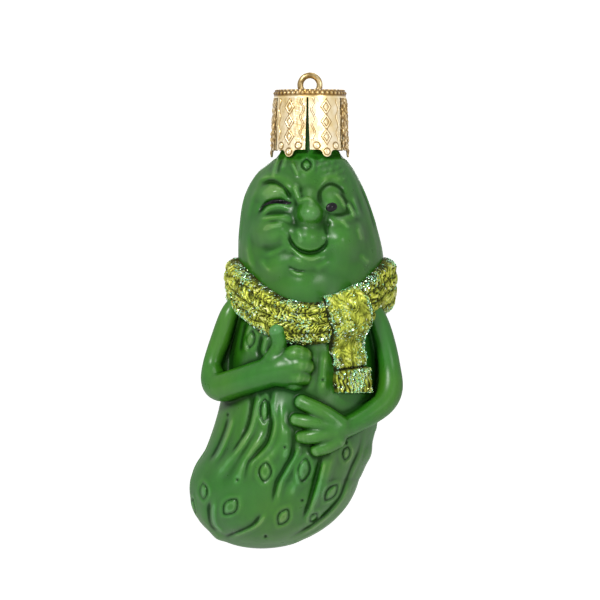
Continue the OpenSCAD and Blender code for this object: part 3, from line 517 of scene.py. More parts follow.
def pickle_profile(z):
    """Lean, half width, half depth and rounding of the pickle and its neck at heights."""
    v = (SHOULDER_Z - z) / FIGURE_H
    lean, wide, deep, _ = core(np.clip(v, 0, 1))
    p = np.clip(1 - (z - SHOULDER_Z) / FLARE_H, 0, 1)
    t = np.arcsin(p * math.sin(FLARE_TURN))
    neck = mix(NECK_R, SHOULDER_R, (1 - np.cos(t)) / (1 - math.cos(FLARE_TURN)))
    rounding = np.maximum(0, (v - END_SHARE) / (1 - END_SHARE))
    pairs = ((0 * z, lean), (neck, wide), (neck, deep), (0 * z, rounding))
    return (np.where(v < 0, above, below) for above, below in pairs)


def face_relief(relief):
    """Lines and swellings of the face, and the marks on its brow."""
    for width, height, *route in FACE_LINES:
        relief.stroke(route, FACE_LINE_WIDTH * width, FACE_LINE_HEIGHT * height)
    for pixel, wide, high, height, tilt in FACE_DOMES:
        relief.dome(pixel, (wide, high), height, tilt)
    relief.wart(BROW_WART, (1.35, 1.0), 90, height=0.25, depth=0.38)
    for pixel in BROW_PITS:
        relief.dot(pixel, 0.28, 0.3)
    for px, py in BROW_DOTS:
        relief.dome((px, py), (1.0, 0.6), 0.16, 40)
        relief.dot((px + 2, py + 1.5), 0.25, 0.08)


def body_relief(relief):
    """Creases of the front with a fold beside each, and its ridges, warts and pits."""
    for route in BODY_CREASES:
        relief.stroke(route, *CREASE)
        relief.stroke(route, *CREASE_CORE)
        relief.stroke([(px + FOLD_ASIDE, py) for px, py in route], *FOLD)
    for route in BODY_RIDGES:
        relief.stroke(route, *RIDGE)
    for pixel, long, wide, tilt in BODY_WARTS:
        relief.wart(pixel, (long, wide), tilt)
    for pixel in BODY_DOTS:
        relief.dot(pixel)


def around(turn, share):
    """Pixel of the unrolled skin at an angle from the front and a share of the figure's height."""
    low = SHOULDER_Z - FIGURE_H * share
    return ORIGIN_PIXEL[0] + math.radians(turn) * UNROLL_R / PIXEL, ORIGIN_PIXEL[1] - low / PIXEL


def back_relief(relief):
    """Creases, streaks and warts of the sides and the back, which the photograph doesn't show."""
    for route in BACK_CREASES:
        route = [around(*p) for p in route]
        relief.stroke(route, *BACK_CREASE)
        relief.stroke(route, *BACK_CREASE_CORE)
    for turn, share, length in BACK_STREAKS:
        low = share + length
        route = [around(turn, share), around(turn + 4, share + length / 2), around(turn + 1, low)]
        relief.stroke(route, *STREAK)
        relief.stroke([around(turn + 7, share), around(turn + 9, low)], *STREAK_RIDGE)
    for turn, share, long, tilt in BACK_WARTS:
        relief.wart(around(turn, share), (long, 0.55 * long), tilt)


def sculpt_pickle():
    """The whole moulded figure but for its scarf: the pickle with its neck, face, arms and hands."""
    clay = Clay(CLAY_LOW, CLAY_HIGH, VOXEL)
    z = clay.axes[2]
    lean, wide, deep, rounding = (a[None, None, :] for a in pickle_profile(z))
    u, w = (clay.x - lean) / wide, clay.y / deep
    clay.start(np.sqrt(u * u + w * w + rounding**2) - 1)

    # The photograph's relief where the skin faces the front, and the rest unrolled around the axis
    turn = np.arctan2(u, -w)
    front = Relief(clay.axes[0], z)
    face_relief(front)
    body_relief(front)
    clay.d -= front.h[:, None, :] * ease((np.cos(turn) - FRONT_FROM) / FRONT_OVER)
    back = Relief(np.arange(-math.pi, math.pi, VOXEL / UNROLL_R) * UNROLL_R, z)
    back_relief(back)
    place = (turn + math.pi) * UNROLL_R / VOXEL
    column = np.clip(place.astype(int), 0, back.h.shape[0] - 2)
    level = np.arange(len(z))[None, None, :]
    clay.d -= mix(back.h[column, level], back.h[column + 1, level], np.clip(place - column, 0, 1))

    x, z_nose = spot(*NOSE_PIXEL)
    clay.ball((x, front_y(x, z_nose) - NOSE_SINK, z_nose), NOSE_RADII, NOSE_SOFT)
    for rows in WEBS:
        clay.limb(rows, WEB_SOFT)
    clay.limb(LEFT_ARM, ARM_SOFT)
    clay.limb(RIGHT_ARM, ARM_SOFT)
    for px, py, y, *radii in HAND_BALLS:
        x, z_ball = spot(px, py)
        clay.ball((x, y, z_ball), radii, BALL_SOFT)
    clay.limb(THUMB, THUMB_SOFT)
    for rows in FIST + FINGERS:
        clay.limb(rows, FINGER_SOFT)
    for pixel, half_wide, half_high in EDGE_LUMPS:
        x, z_lump = spot(*pixel)
        clay.ball((x, LUMP_Y, z_lump), (half_wide, 2 * half_high, half_high), LUMP_SOFT)

    # The neck is open, and its bore is blind below the hanger's legs
    bore = np.maximum(np.sqrt(clay.x**2 + clay.y**2) - BORE_R, BORE_LOW - clay.z)
    clay.d = np.maximum(np.maximum(clay.d, clay.z - NECK_Z), -bore).astype(np.float32)
    return clay


def outward(points, quads):
    """Faces turned so that a closed mesh points outward."""
    a, b, c, d = (points[quads[:, i]] for i in range(4))
    volume = np.einsum("ij,ij->", a, np.cross(b, c)) + np.einsum("ij,ij->", a, np.cross(c, d))
    return quads if volume > 0 else quads[:, ::-1]


def mesh_piece(name, points, faces, material, body=None, slot=None, smooth=True, **values):
    """A piece from points in millimetres. Each of the values has one number per point, for the material."""
    mesh = bpy.data.meshes.new(name)
    points = np.asarray(points, float) * MM
    if isinstance(faces, np.ndarray):
        mesh.vertices.add(len(points))
        mesh.vertices.foreach_set("co", points.ravel())
        n = faces.shape[1]
        mesh.loops.add(faces.size)
        mesh.loops.foreach_set("vertex_index", faces.ravel().astype(np.int32))
        mesh.polygons.add(len(faces))
        mesh.polygons.foreach_set("loop_start", np.arange(0, faces.size, n, dtype=np.int32))
        mesh.update(calc_edges=True)
    else:
        mesh.from_pydata(points.tolist(), [], [list(map(int, f)) for f in faces])
    mesh.validate()
    mesh.shade_smooth() if smooth else mesh.shade_flat()
    for key, value in values.items():
        numbers = mesh.attributes.new(key, "FLOAT", "POINT")
        numbers.data.foreach_set("value", np.asarray(value, np.float32))
    obj = bpy.data.objects.new(name, mesh)
    bpy.context.scene.collection.objects.link(obj)
    mesh.materials.append(material)
    if body:
        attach(obj, body)
    return obj


# Knit of the scarf: rows of slanted stitches, which meet in chevrons
STITCH_ROWS, STITCH_PITCH, STITCH_SLANT, STITCH_H = 4, 1.1, 2.16, 0.62
TAIL_ROWS, TAIL_PITCH, TAIL_SLANT, TAIL_STITCH_H, HEM_RIB_PITCH = 4, 1.3, 2.2, 0.38, 1.1
# The band's knit laid flat, its radius, the share that rolls in at each edge, how deep that sinks into
# the pickle and how far it swells past the edge before
BAND_LENGTH, BAND_WIDTH, BAND_R, BAND_ROLL, BAND_SINK, BAND_LIP = 118, 16, 18.4, 0.14, 0.7, 0.75
# The tail's extra width and length for its rolled edges, the pickle's radius under it, the shares that
# roll in at its sides and its ends, how deep they sink, and how far above the band's edge it starts
TAIL_MARGIN, TAIL_SKIN_R, TAIL_SIDE_ROLL, TAIL_END_ROLL, TAIL_SINK, TAIL_OVER = 4, 16.6, 0.13, 0.06, 1.0, 1.4


def wander(a, b, seed, size):
    """A smooth uneven pattern between about -1 and 1 over two coordinates in millimetres."""
    rng = np.random.default_rng(seed)
    out = 0
    for k in range(6):
        way, phase = rng.uniform(0, math.tau), rng.uniform(0, math.tau)
        f = math.tau / size * rng.uniform(0.6, 1.7)
        out = out + np.sin(f * (a * math.cos(way) + b * math.sin(way)) + phase)
    return out / 3.5


def front_share(turn):
    return np.maximum(0, np.cos(turn)) ** 1.8


def band_top(turn):
    return FIGURE_H * SCARF_SHARE + SCARF_DROP * front_share(turn)


def band_low(turn):
    side = np.maximum(0, np.sin(turn)) ** 3
    return band_top(turn) + SCARF_H * (1 - FRONT_RISE_SHARE * front_share(turn) + SIDE_DROP_SHARE * side)


def scarf_proud(turn):
    return mix(SCARF_T, SCARF_FRONT_T, np.cos(turn) ** 2)


def crown(w):
    return np.sqrt(np.maximum(0, 4 * w * (1 - w)))


def stitches(along_way, across, rows, pitch, slant):
    """Height, 0 to 1, of rows of slanted loops: along the rows in millimetres, across them from 0 to 1."""
    q = np.clip(across, 0, 0.9999) * rows
    row = np.floor(q)
    t = q - row
    side = np.where(row % 2 == 0, 1, -1)
    bow = (t - 0.5) * side
    uneven = 0.42 * wander(along_way, 2.2 * q, 41, 2.2) + 0.25 * wander(along_way, 4 * q, 42, 1.1)
    phase = (along_way + slant * bow + 0.45 * pitch * np.sin(math.pi * t)) / pitch + 0.31 * row + uneven
    strand = np.floor(phase + 0.5)
    own = np.modf(np.abs(np.sin(strand * 12.9898 + row * 78.233)) * 43758.5453)[0]
    loop = np.abs(np.cos(math.pi * phase)) ** (0.8 + 0.9 * own)
    size = 0.62 + 0.38 * np.modf(own * 7.13)[0]
    return size * loop * np.clip(np.sin(math.pi * np.clip(t + 0.1 * (own - 0.5), 0.02, 0.98)), 0, 1) ** 0.5


def grid_faces(rows, columns, closed=False):
    """Four-sided faces of a grid of points. A closed grid goes all the way round."""
    i = np.arange(columns if closed else columns - 1)
    k = (i + 1) % columns
    top = (np.arange(rows - 1) * columns)[:, None]
    return np.stack([top + i, top + columns + i, top + columns + k, top + k], -1).reshape(-1, 4)


def build_band(material):
    """The scarf's band, a knitted ring whose edges roll in to the pickle."""
    columns, rows = round(BAND_LENGTH / KNIT_GAP), round(BAND_WIDTH / KNIT_GAP)
    turn = (np.arange(columns) / columns * math.tau - math.pi)[None, :]
    s = (np.arange(rows) / (rows - 1))[:, None]
    w = np.clip((s - BAND_ROLL) / (1 - 2 * BAND_ROLL), 0, 1)
    inward = np.maximum(np.maximum(BAND_ROLL - s, s - 1 + BAND_ROLL) / BAND_ROLL, 0)
    way, across = turn * BAND_R, SCARF_H * w
    warp = 0.7 * wander(way, across, 11, 6)
    row_place = w + 0.04 * wander(way, across, 12, 4)
    loops = stitches(way + warp, row_place, STITCH_ROWS, STITCH_PITCH, STITCH_SLANT)
    loops = np.clip(loops + 0.22 * wander(way, 1.4 * across, 15, 1.0) * (1 - loops), 0, 1)
    edge = np.minimum(w, 1 - w)
    full = scarf_proud(turn) * (0.5 + 0.5 * crown(w)) + 0.22 * wander(way, across, 13, 9)
    h = full - STITCH_H + STITCH_H * loops * (0.55 + 0.45 * ease(edge * 7))
    h = mix(h, -BAND_SINK, np.sin(inward * math.pi / 2) ** 2)
    lip = BAND_LIP * np.sin(np.pi / 2 * inward) * np.where(s < 0.5, -1, 1) * (1 - 0.75 * inward)
    down = mix(band_top(turn), band_low(turn), w) + lip + 0.12 * wander(way, 3 + 0 * w, 14, 4)
    rim = np.broadcast_to(1 - ease(edge * 5) * (1 - inward), loops.shape)
    # The crest sets painted shade between the stitches and where the rolled edges tuck in to the pickle, and
    # painted highlights on the stitches.
    obj = mesh_piece(
        "scarf_band", skin(turn, down / FIGURE_H, h).reshape(-1, 3), grid_faces(rows, columns, True)[:, ::-1],
        material, "figure", "scarf_coat", crest=(loops * (1 - inward)).ravel(), rim=rim.ravel(),
    )
    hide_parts("scarf_wrap")
    return obj


def tail_seat(turn, down):
    """Height of the tail's underside over the pickle."""
    w = (down - band_top(turn)) / (band_low(turn) - band_top(turn))
    past = (down - band_low(turn)) / (0.3 * SCARF_H)
    on_band = scarf_proud(turn) * (0.55 + 0.45 * crown(np.clip(w, 0, 1)))
    return on_band * (1 - ease(past))


def build_tail(material):
    """The scarf's hanging end: a knitted strip that folds over the band, with a ribbed hem."""
    top = float(band_top(TAIL_TOP_TURN))
    length = TAIL_LOW - top + TAIL_OVER
    columns, rows = round((TAIL_W + TAIL_MARGIN) / KNIT_GAP), round((length + TAIL_MARGIN) / KNIT_GAP)
    p = (np.arange(columns) / (columns - 1) * 2 - 1)[None, :]
    q = (np.arange(rows) / (rows - 1))[:, None]
    across = np.clip(p / (1 - TAIL_SIDE_ROLL), -1, 1)
    down_share = np.clip((q - TAIL_END_ROLL) / (1 - 2 * TAIL_END_ROLL), 0, 1)
    past_side = (np.abs(p) - 1 + TAIL_SIDE_ROLL) / TAIL_SIDE_ROLL
    past_end = np.maximum(TAIL_END_ROLL - q, q - 1 + TAIL_END_ROLL) / TAIL_END_ROLL
    inward = np.clip(np.maximum(past_side, past_end), 0, 1)
    low = down_share * length

    # Where the knit lies: pinched at its top, wider at the hem and uneven along its sides
    hem = ease((low - length + HEM_H) / 0.5)
    bend = 0.35 * wander(low, 0 * p, 21, 14)
    gather = 0.8 * ease(1 - low / 6)
    flare = 0.5 * ease(1 - low / 9) * (across - 1)
    half = TAIL_W / 2 - 0.1 + 0.25 * hem - gather
    side = across * half + bend + flare + 0.2 * wander(low, across * 3, 22, 3.2)
    turn = mix(TAIL_TOP_TURN, TAIL_LOW_TURN, down_share**0.8) + side / (TAIL_SKIN_R + SCARF_T + TAIL_T)
    down = mix(band_top(turn), top, down_share) - TAIL_OVER + low

    # How thick it is: stitches above, ribs on the hem and a sharp fold between them
    row_place = (across + 1) / 2
    loops = stitches(low + 0.5 * wander(low, side, 23, 5), row_place, TAIL_ROWS, TAIL_PITCH, TAIL_SLANT)
    ribs = np.abs(np.cos(math.pi * (side + 0.4 * wander(low, side, 24, 3)) / HEM_RIB_PITCH)) ** 0.9
    body = TAIL_STITCH_H * loops + 0.3 * wander(low, side, 25, 4.5)
    cuff = 0.55 + 0.38 * ribs + 0.2 * wander(low, side, 26, 2)
    fold = -0.4 * bump(low - length + HEM_H + 0.1, 0.28)
    thick = TAIL_T * (0.62 + 0.3 * crown(row_place)) + mix(body, cuff, hem) + fold
    seat = tail_seat(turn, down)
    h = mix(seat + thick, seat - TAIL_SINK, np.sin(inward * math.pi / 2) ** 2)

    # Crest for the colour: painted shade between the stitches and ribs, at the tail's sides, in the hem's
    # fold and where its edges tuck in, and painted highlights on the stitches and ribs.
    pooled = 0.28 + 0.56 * loops + 0.16 * wander(low, side, 27, 2.4) - 0.35 * np.abs(across) ** 6
    ribbed = 0.02 + 0.56 * ribs + 0.16 * wander(low, side, 28, 1.5)
    crest = (mix(pooled, ribbed, hem) + 1.6 * fold) * (1 - 0.6 * inward)
    rim = 1 - ease((1 - np.abs(across)) * 3.2) * (1 - 0.6 * hem) * (1 - inward)
    obj = mesh_piece(
        "scarf_tail_knit", skin(turn, down / FIGURE_H, h).reshape(-1, 3), grid_faces(rows, columns)[:, ::-1],
        material, "figure", "scarf_coat", crest=crest.ravel(), rim=np.broadcast_to(rim, crest.shape).ravel(),
    )
    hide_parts("scarf_tail")
    return obj


FLAKE_R = (0.11, 0.28)  # millimetres
FLAKE_SIDES, FLAKE_LIFT, FLAKE_TILT = 6, 0.07, 0.35
BAND_FLAKES, TAIL_FLAKES = ((17000, 5200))
BAND_SEED, TAIL_SEED = 31, 32


def unit(v):
    return v / np.linalg.norm(v, axis=1)[:, None]


def build_glitter(name, carrier, count, seed, material):
    """Six-sided flakes that lie on a knitted piece, most of them along its edges."""
    rng = np.random.default_rng(seed)
    mesh = carrier.data
    n = len(mesh.vertices)
    co, normal, rim, crest = (np.empty(n * k) for k in (3, 3, 1, 1))
    mesh.vertices.foreach_get("co", co)
    mesh.vertices.foreach_get("normal", normal)
    mesh.attributes["rim"].data.foreach_get("value", rim)
    mesh.attributes["crest"].data.foreach_get("value", crest)
    co, normal = co.reshape(-1, 3) / MM, normal.reshape(-1, 3)
    patchy = 0.35 + wander(co[:, 0], co[:, 2], seed, 8).clip(-0.3, 1)
    weight = np.maximum((0.07 + np.clip(rim, 0, 1) ** 1.3) * (crest > 0.05) * patchy, 0)
    chosen = rng.choice(n, count, replace=False, p=weight / weight.sum())
    up = unit(normal[chosen] + rng.normal(0, FLAKE_TILT, (count, 3)))
    side = unit(np.cross(up, rng.normal(0, 1, (count, 3))))
    other = np.cross(up, side)
    r = rng.uniform(*FLAKE_R, count)[:, None]
    centre = co[chosen] + up * FLAKE_LIFT
    turns = np.arange(FLAKE_SIDES) * math.tau / FLAKE_SIDES
    points = np.stack([centre + r * (math.cos(a) * side + math.sin(a) * other) for a in turns], 1)
    faces = np.arange(count * FLAKE_SIDES).reshape(-1, FLAKE_SIDES)
    tint = np.repeat(rng.uniform(0, 1, count), FLAKE_SIDES)
    return mesh_piece(name, points.reshape(-1, 3), faces, material, "figure", "glitter", False, tint=tint)


def on_body(tree, x, z, lift):
    """The point on the sculpted front at a place seen from the front, lifted along the surface's normal."""
    hit, normal, _, _ = tree.ray_cast(Vector((x * MM, -0.05, z * MM)), Vector((0, 1, 0)))
    if normal.y > 0:
        normal = -normal
    return np.array(hit) / MM + np.array(normal) * lift


# The wink's line in pixels, and its half width in millimetres with the shares of it along the line
WINK_LINE = (
    (260.3, 211.6), (263.8, 206.2), (269.2, 203.6), (275.7, 202.3), (282.2, 202.9), (288.7, 203.7),
    (291.5, 203.2),
)
WINK_HALF, WINK_STEPS = 0.55, 9
WINK_PLACES, WINK_SHARES = (0, 0.3, 0.5, 0.75, 1), (0.2, 0.5, 0.9, 1.0, 0.35)
PUPIL_PIXEL, PUPIL_SIZE, PUPIL_TILT, PUPIL_DOME = (331.2, 208), (1.35, 1.05), 0.35, 0.34
PUPIL_RINGS, PUPIL_SIDES = 12, 40
ENAMEL_LIFT, WINK_SINK, PUPIL_SINK = 0.16, 0.12, 0.1


def build_wink(tree, material):
    """The black line painted along the closed lid, thick in its middle and thin at its ends."""
    line = curve([spot(*p) for p in WINK_LINE], WINK_GAP)
    half = WINK_HALF * np.interp(np.linspace(0, 1, len(line)), WINK_PLACES, WINK_SHARES)
    way = unit(np.gradient(line, axis=0))
    cross = np.stack([-way[:, 1], way[:, 0]], 1)
    points = []
    for p, c, h in zip(line, cross, half):
        for s in np.linspace(-1, 1, WINK_STEPS):
            lift = mix(-WINK_SINK, ENAMEL_LIFT, math.sqrt(1 - s**2))
            points.append(on_body(tree, *(p + c * h * s), lift))
    obj = mesh_piece(
        "wink_line", points, grid_faces(len(line), WINK_STEPS), material, "figure", "black_enamel"
    )
    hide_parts("wink_enamel")


def build_pupil(tree, material):
    """The domed black pupil of the open eye."""
    x, z = spot(*PUPIL_PIXEL)
    c, s = math.cos(PUPIL_TILT), math.sin(PUPIL_TILT)
    points = [on_body(tree, x, z, PUPIL_DOME)]
    for ring in range(1, PUPIL_RINGS + 1):
        q = ring / PUPIL_RINGS
        lift = PUPIL_DOME * math.sqrt(1 - q * q) - PUPIL_SINK * (q == 1)
        for k in range(PUPIL_SIDES):
            a = k * math.tau / PUPIL_SIDES
            u, w = PUPIL_SIZE[0] * q * math.cos(a), PUPIL_SIZE[1] * q * math.sin(a)
            points.append(on_body(tree, x + u * c - w * s, z + u * s + w * c, lift))
    faces = [[0, 1 + k, 1 + (k + 1) % PUPIL_SIDES] for k in range(PUPIL_SIDES)]
    faces += list(grid_faces(PUPIL_RINGS, PUPIL_SIDES, True) + 1)
    obj = mesh_piece("open_eye_pupil", points, faces, material, "figure", "black_enamel")
    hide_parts("open_eye_enamel")


# The cap: points across a tab, and rows down its rim, its closed band and its tabs
TAB_COLUMNS, RIM_ROWS, BAND_ROWS, TAB_GRID_ROWS = ((86, 24, 10, 130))
ARC_Z, HUB_R = RIM_Z - RIM_R, CAP_R - RIM_R
PLATE_R = HUB_R - SHEET
EMBOSS_H = 0.23
INSIDE_STAIN, PLATE_STAIN = 0.45, 0.4  # how brown the cap's inside and its plate are
# How crumpled each tab is also sets how much painted shade lies in its crinkles, most on the tabs turned to
# the sides.
TAB_DENTS = (0.05, 1.0, 0.55, 0.6, 0.9, 0.2)  # how crumpled each tab's sheet is, from the front to +X
# The pressed pattern of a tab: lozenges, wavy lines along its sides and rings along its lower edge
LOZENGES, LOZENGE_HALF_W, LOZENGE_HALF_H, LOZENGE_LINE, DOT_R = 3, 1.0, 1.45, 0.17, 0.3
WAVE_IN, WAVE_DEEP, WAVE_PITCH, WAVE_LINE = 0.95, 0.32, 3.55, 0.14
RING_PLACES = ((-2.4, EDGE_Z + 0.95), (2.4, EDGE_Z + 0.95), (0, TIP_Z + TIP_R + 0.1))
RING_R, RING_LINE, STAIN_R, STAIN_LINE = 0.42, 0.24, 0.78, 0.14
BEADS, BEAD_ROWS, BEAD_W = 44, (0.75, 1.45), 0.3
CORNER_DROP, CORNER_RUN = 0.5, 0.9  # how a tab's edge slopes down to its tip


def skirt_radius(z):
    return mix(CAP_R, SKIRT_R, np.clip((ARC_Z - z) / (ARC_Z - TIP_Z), 0, 1))


def tab_half(z):
    """Half width of a tab at a height, measured round the cap."""
    share = np.clip((SLOT_Z - z) / (SLOT_Z - TIP_Z), 0, 1)
    return math.pi * skirt_radius(z) / TABS - mix(SLOT_W, SLOT_END_W, share) / 2


def tab_end(side, reach):
    """Height of a tab's lower edge at sideways places: round corners and a round tip in the middle."""
    near = np.abs(side)
    past = np.clip(near - (reach - CORNER_R), 0, CORNER_R)
    edge = EDGE_Z + CORNER_R - np.sqrt(CORNER_R**2 - past**2)
    shoulder = EDGE_Z - CORNER_DROP * np.clip(1 - (near - TIP_R) / CORNER_RUN, 0, 1) ** 2
    tip = TIP_Z + TIP_R - np.sqrt(np.maximum(0, TIP_R**2 - near**2))
    return np.where(near < TIP_R, np.minimum(tip, EDGE_Z - CORNER_DROP), np.minimum(edge, shoulder))


def tab_emboss(x, z, half, number):
    """Height pressed into a tab and how brown it is: lozenges with dots, wavy lines, rings and dents, with
    patina in the pressed hollows and painted shade in the hollows of the crinkles.
    """
    height, brown = np.zeros_like(x), np.zeros_like(x)

    def press(distance, width, amount=1.0):
        """A pressed line, with brown left in the hollow along it."""
        np.add(height, amount * bump(distance, width), out=height)
        hollow = bump(np.abs(distance) - 1.5 * width, 0.45 * width)
        np.maximum(brown, amount * hollow, out=brown)

    for k in range(LOZENGES):
        level = mix(SLOT_Z - 0.5, EDGE_Z + 1.3, (k + 0.5) / LOZENGES)
        away = np.abs(x) / LOZENGE_HALF_W + np.abs(z - level) / LOZENGE_HALF_H - 1
        press(0.8 * away, LOZENGE_LINE)
        height += bump(np.hypot(x, 0.7 * (z - level)), DOT_R)
    shown = ease((z - EDGE_Z - 1.7) / 0.6) * ease((SLOT_Z - z) / 0.5)
    wave = WAVE_DEEP * np.sin((z - SLOT_Z) * math.tau / WAVE_PITCH)
    press(np.abs(x) - half + WAVE_IN - wave, WAVE_LINE, shown)
    for ring_x, ring_z in RING_PLACES:
        away = np.hypot(x - ring_x, z - ring_z)
        height += bump(away - RING_R, RING_LINE)
        np.maximum(brown, 0.9 * bump(away - STAIN_R, STAIN_LINE), out=brown)
    # The crumpled sheet's crinkles get painted shade in their hollows, heavier on the more crumpled side
    # tabs.
    dent = TAB_DENTS[number]
    crinkle = wander(1.6 * x, 0.8 * z, 30 + number, 1.7) + 0.6 * wander(1.6 * x, z, 50 + number, 0.8)
    height += 0.12 * wander(x, z, 70 + number, 3.4) + 0.7 * dent * crinkle
    return height, np.clip(0.9 * brown + 0.1 + dent * (0.5 - 0.5 * crinkle), 0, 1)


def rim_beads(turn, length):
    """Two zigzag rows of beads round the rounded rim at distances down its arc: height, and brown that is
    patina between the beads plus painted shade towards the rim's left and right.
    """
    out = 0 * turn
    for k, level in enumerate(BEAD_ROWS):
        out = out + (0.5 + 0.5 * np.cos(BEADS * turn + k * math.pi)) ** 1.3 * bump(length - level, BEAD_W)
    # Painted shade: browner towards the rim's left and right, where it turns away from the front.
    aside = 0.3 * np.sin(turn) ** 6
    return out, np.clip(0.95 - 0.75 * out + aside, 0, 1) * float(ease((2.5 - length) / 0.7))


def cap_rows():
    """Outer points, inner points and brownness of the cap's rim and skirt, row by row."""
    s = np.tile(np.linspace(-1, 1, TAB_COLUMNS), TABS)
    tab = np.repeat(np.arange(TABS), TAB_COLUMNS)
    middle = CAP_TURN + math.tau * (tab + 0.5) / TABS
    outer, inner, stains = [], [], []

    def row(radius, z, turn, way_r, way_z, height, brown):
        for out, h in ((outer, EMBOSS_H * height), (inner, -0.9 * SHEET + 0 * height)):
            r = radius + h * way_r
            out.append(np.stack([r * np.sin(turn), -r * np.cos(turn), z + h * way_z + 0 * turn], -1))
        stains.append(brown)

    closed_turn = middle + s * (math.pi / TABS - SLOT_W / 2 / CAP_R)
    flat = 0 * s
    row(PLATE_R, PLATE_Z - SHEET / 2, closed_turn, -0.3, 0, flat, flat + 0.5)
    row(PLATE_R, RIM_Z - 0.15, closed_turn, -0.3, 0.3, flat, flat + 0.4)
    row(PLATE_R + 0.15, RIM_Z, closed_turn, 0, 1, flat, flat + 0.3)
    for a in np.linspace(0, math.pi / 2, RIM_ROWS):
        c, d = math.cos(a), math.sin(a)
        row(HUB_R + RIM_R * d, ARC_Z + RIM_R * c, closed_turn, d, c, *rim_beads(closed_turn, RIM_R * a))
    for z in np.linspace(ARC_Z, SLOT_Z, BAND_ROWS + 1)[1:]:
        turn = middle + s * tab_half(z) / skirt_radius(z)
        row(skirt_radius(z), z, turn, 1, 0, *rim_beads(closed_turn, RIM_R * math.pi / 2 + ARC_Z - z))
    reach = tab_half(TIP_Z)
    for t in np.linspace(0, 1, TAB_GRID_ROWS + 1)[1:]:
        z = mix(SLOT_Z, tab_end(s * reach, reach), t)
        half, radius = tab_half(z), skirt_radius(z)
        pressed = [tab_emboss(s * half, z, half, k) for k in range(TABS)]
        height, brown = (np.choose(tab, [p[i] for p in pressed]) for i in (0, 1))
        curl = 0.35 * ease((t - 0.9) / 0.1) * wander(middle * 3, z, 9, 3)
        radius = radius + 0.12 * wander(middle * 2, z * 0.3, 4, 9) * ease(t * 3)
        row(radius, z, middle + s * half / radius, 1, 0, height + curl, brown)
    return np.array(outer), np.array(inner), np.array(stains)


def build_cap(material):
    """The stamped cap's rim and skirt, with its slots, and its plate with two holes for the hanger."""
    outer, inner, stains = cap_rows()
    rows, columns = outer.shape[:2]
    first_open = rows - TAB_GRID_ROWS - 1
    index = np.arange(rows * columns).reshape(rows, columns)
    offset = rows * columns
    following = np.roll(index, -1, axis=1)
    quads = []

    def add(a, b, c, d):
        quads.append(np.stack([a, b, c, d], -1).reshape(-1, 4))

    gap = np.arange(columns) % TAB_COLUMNS == TAB_COLUMNS - 1
    for part, open_part in ((slice(0, first_open), False), (slice(first_open, rows - 1), True)):
        keep = ~gap if open_part else np.ones(columns, bool)
        a, b = index[part][:, keep], index[1:][part][:, keep]
        d, c = following[part][:, keep], following[1:][part][:, keep]
        add(a, b, c, d)
        add(d + offset, c + offset, b + offset, a + offset)
    for side, flip in ((np.arange(columns) % TAB_COLUMNS == 0, False), (gap, True)):
        a, b = index[first_open:-1][:, side], index[first_open + 1 :][:, side]
        add(b, a, a + offset, b + offset) if flip else add(a, b, b + offset, a + offset)
    a, d = index[-1][~gap], following[-1][~gap]
    add(a, a + offset, d + offset, d)
    a, d = index[first_open][gap], following[first_open][gap]
    add(a, a + offset, d + offset, d)
    a, d = index[0], following[0]
    add(d, d + offset, a + offset, a)
    points, faces = list(np.concatenate([outer, inner]).reshape(-1, 3)), list(np.concatenate(quads))
    stain = list(stains.ravel()) + [INSIDE_STAIN] * offset
    plate_points, plate_faces = cap_plate()
    faces += [[i + len(points) for i in f] for f in plate_faces]
    points += plate_points
    stain += [PLATE_STAIN] * len(plate_points)
    obj = mesh_piece("stamped_cap", points, faces, material, "cap", "cap_metal", stain=stain)
    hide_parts("cap")


PLATE_STEPS, HOLE_STEPS, PLATE_POINTS, PLATE_WAVE = 96, 32, 500, 0.05


def cap_plate():
    """Points and faces of the plate: a disc with two round holes, a little uneven."""
    holes = [(-LEG_X, LEG_HOLE_R), (LEG_X, LEG_HOLE_R)]
    flat, edges, rims = [], [], []
    for x, r, n in [(0, PLATE_R + 0.1, PLATE_STEPS)] + [(*hole, HOLE_STEPS) for hole in holes]:
        start = len(flat)
        turns = [k * math.tau / n for k in range(n)]
        flat += [Vector((x + r * math.cos(a), r * math.sin(a))) for a in turns]
        rims.append([start + k for k in range(n)])
        edges += [(start + k, start + (k + 1) % n) for k in range(n)]
    for x, y in np.random.default_rng(2).uniform(-PLATE_R, PLATE_R, (PLATE_POINTS, 2)):
        clear = all(math.hypot(x - hole_x, y) > hole_r + 0.25 for hole_x, hole_r in holes)
        if clear and math.hypot(x, y) < PLATE_R - 0.3:
            flat.append(Vector((x, y)))
    made, _, triangles, *_ = delaunay_2d_cdt(flat, edges, [], 0, 1e-6)
    kept = []
    for f in triangles:
        x, y = (sum(made[i][k] for i in f) / 3 for k in (0, 1))
        if all(math.hypot(x - hole_x, y) > hole_r * 0.97 for hole_x, hole_r in holes):
            kept.append(list(f))
    n = len(made)
    uneven = [PLATE_WAVE * math.sin(2.1 * x) * math.cos(1.7 * y) for x, y in made]
    points = [np.array((*p, PLATE_Z + rise)) for p, rise in zip(made, uneven)]
    points += [p - np.array((0, 0, SHEET)) for p in points]
    faces = kept + [[n + i for i in reversed(f)] for f in kept]
    for number, rim in enumerate(rims):
        for a, b in zip(rim, rim[1:] + rim[:1]):
            faces.append([b, a, n + a, n + b] if number == 0 else [a, b, n + b, n + a])
    return points, faces


# Materials
def new_material(name):
    """A material, its node tree and its surface shader."""
    material = bpy.data.materials.new(name)
    material.use_nodes = True
    tree = material.node_tree
    return material, tree, tree.nodes["Principled BSDF"]


def put(node, **inputs):
    """Gives inputs of a node a value or another node's output. _ stands for a space in their names."""
    for key, value in inputs.items():
        socket = node.inputs[key.replace("_", " ")]
        if isinstance(value, bpy.types.NodeSocket):
            node.id_data.links.new(value, socket)
        else:
            socket.default_value = value
    return node


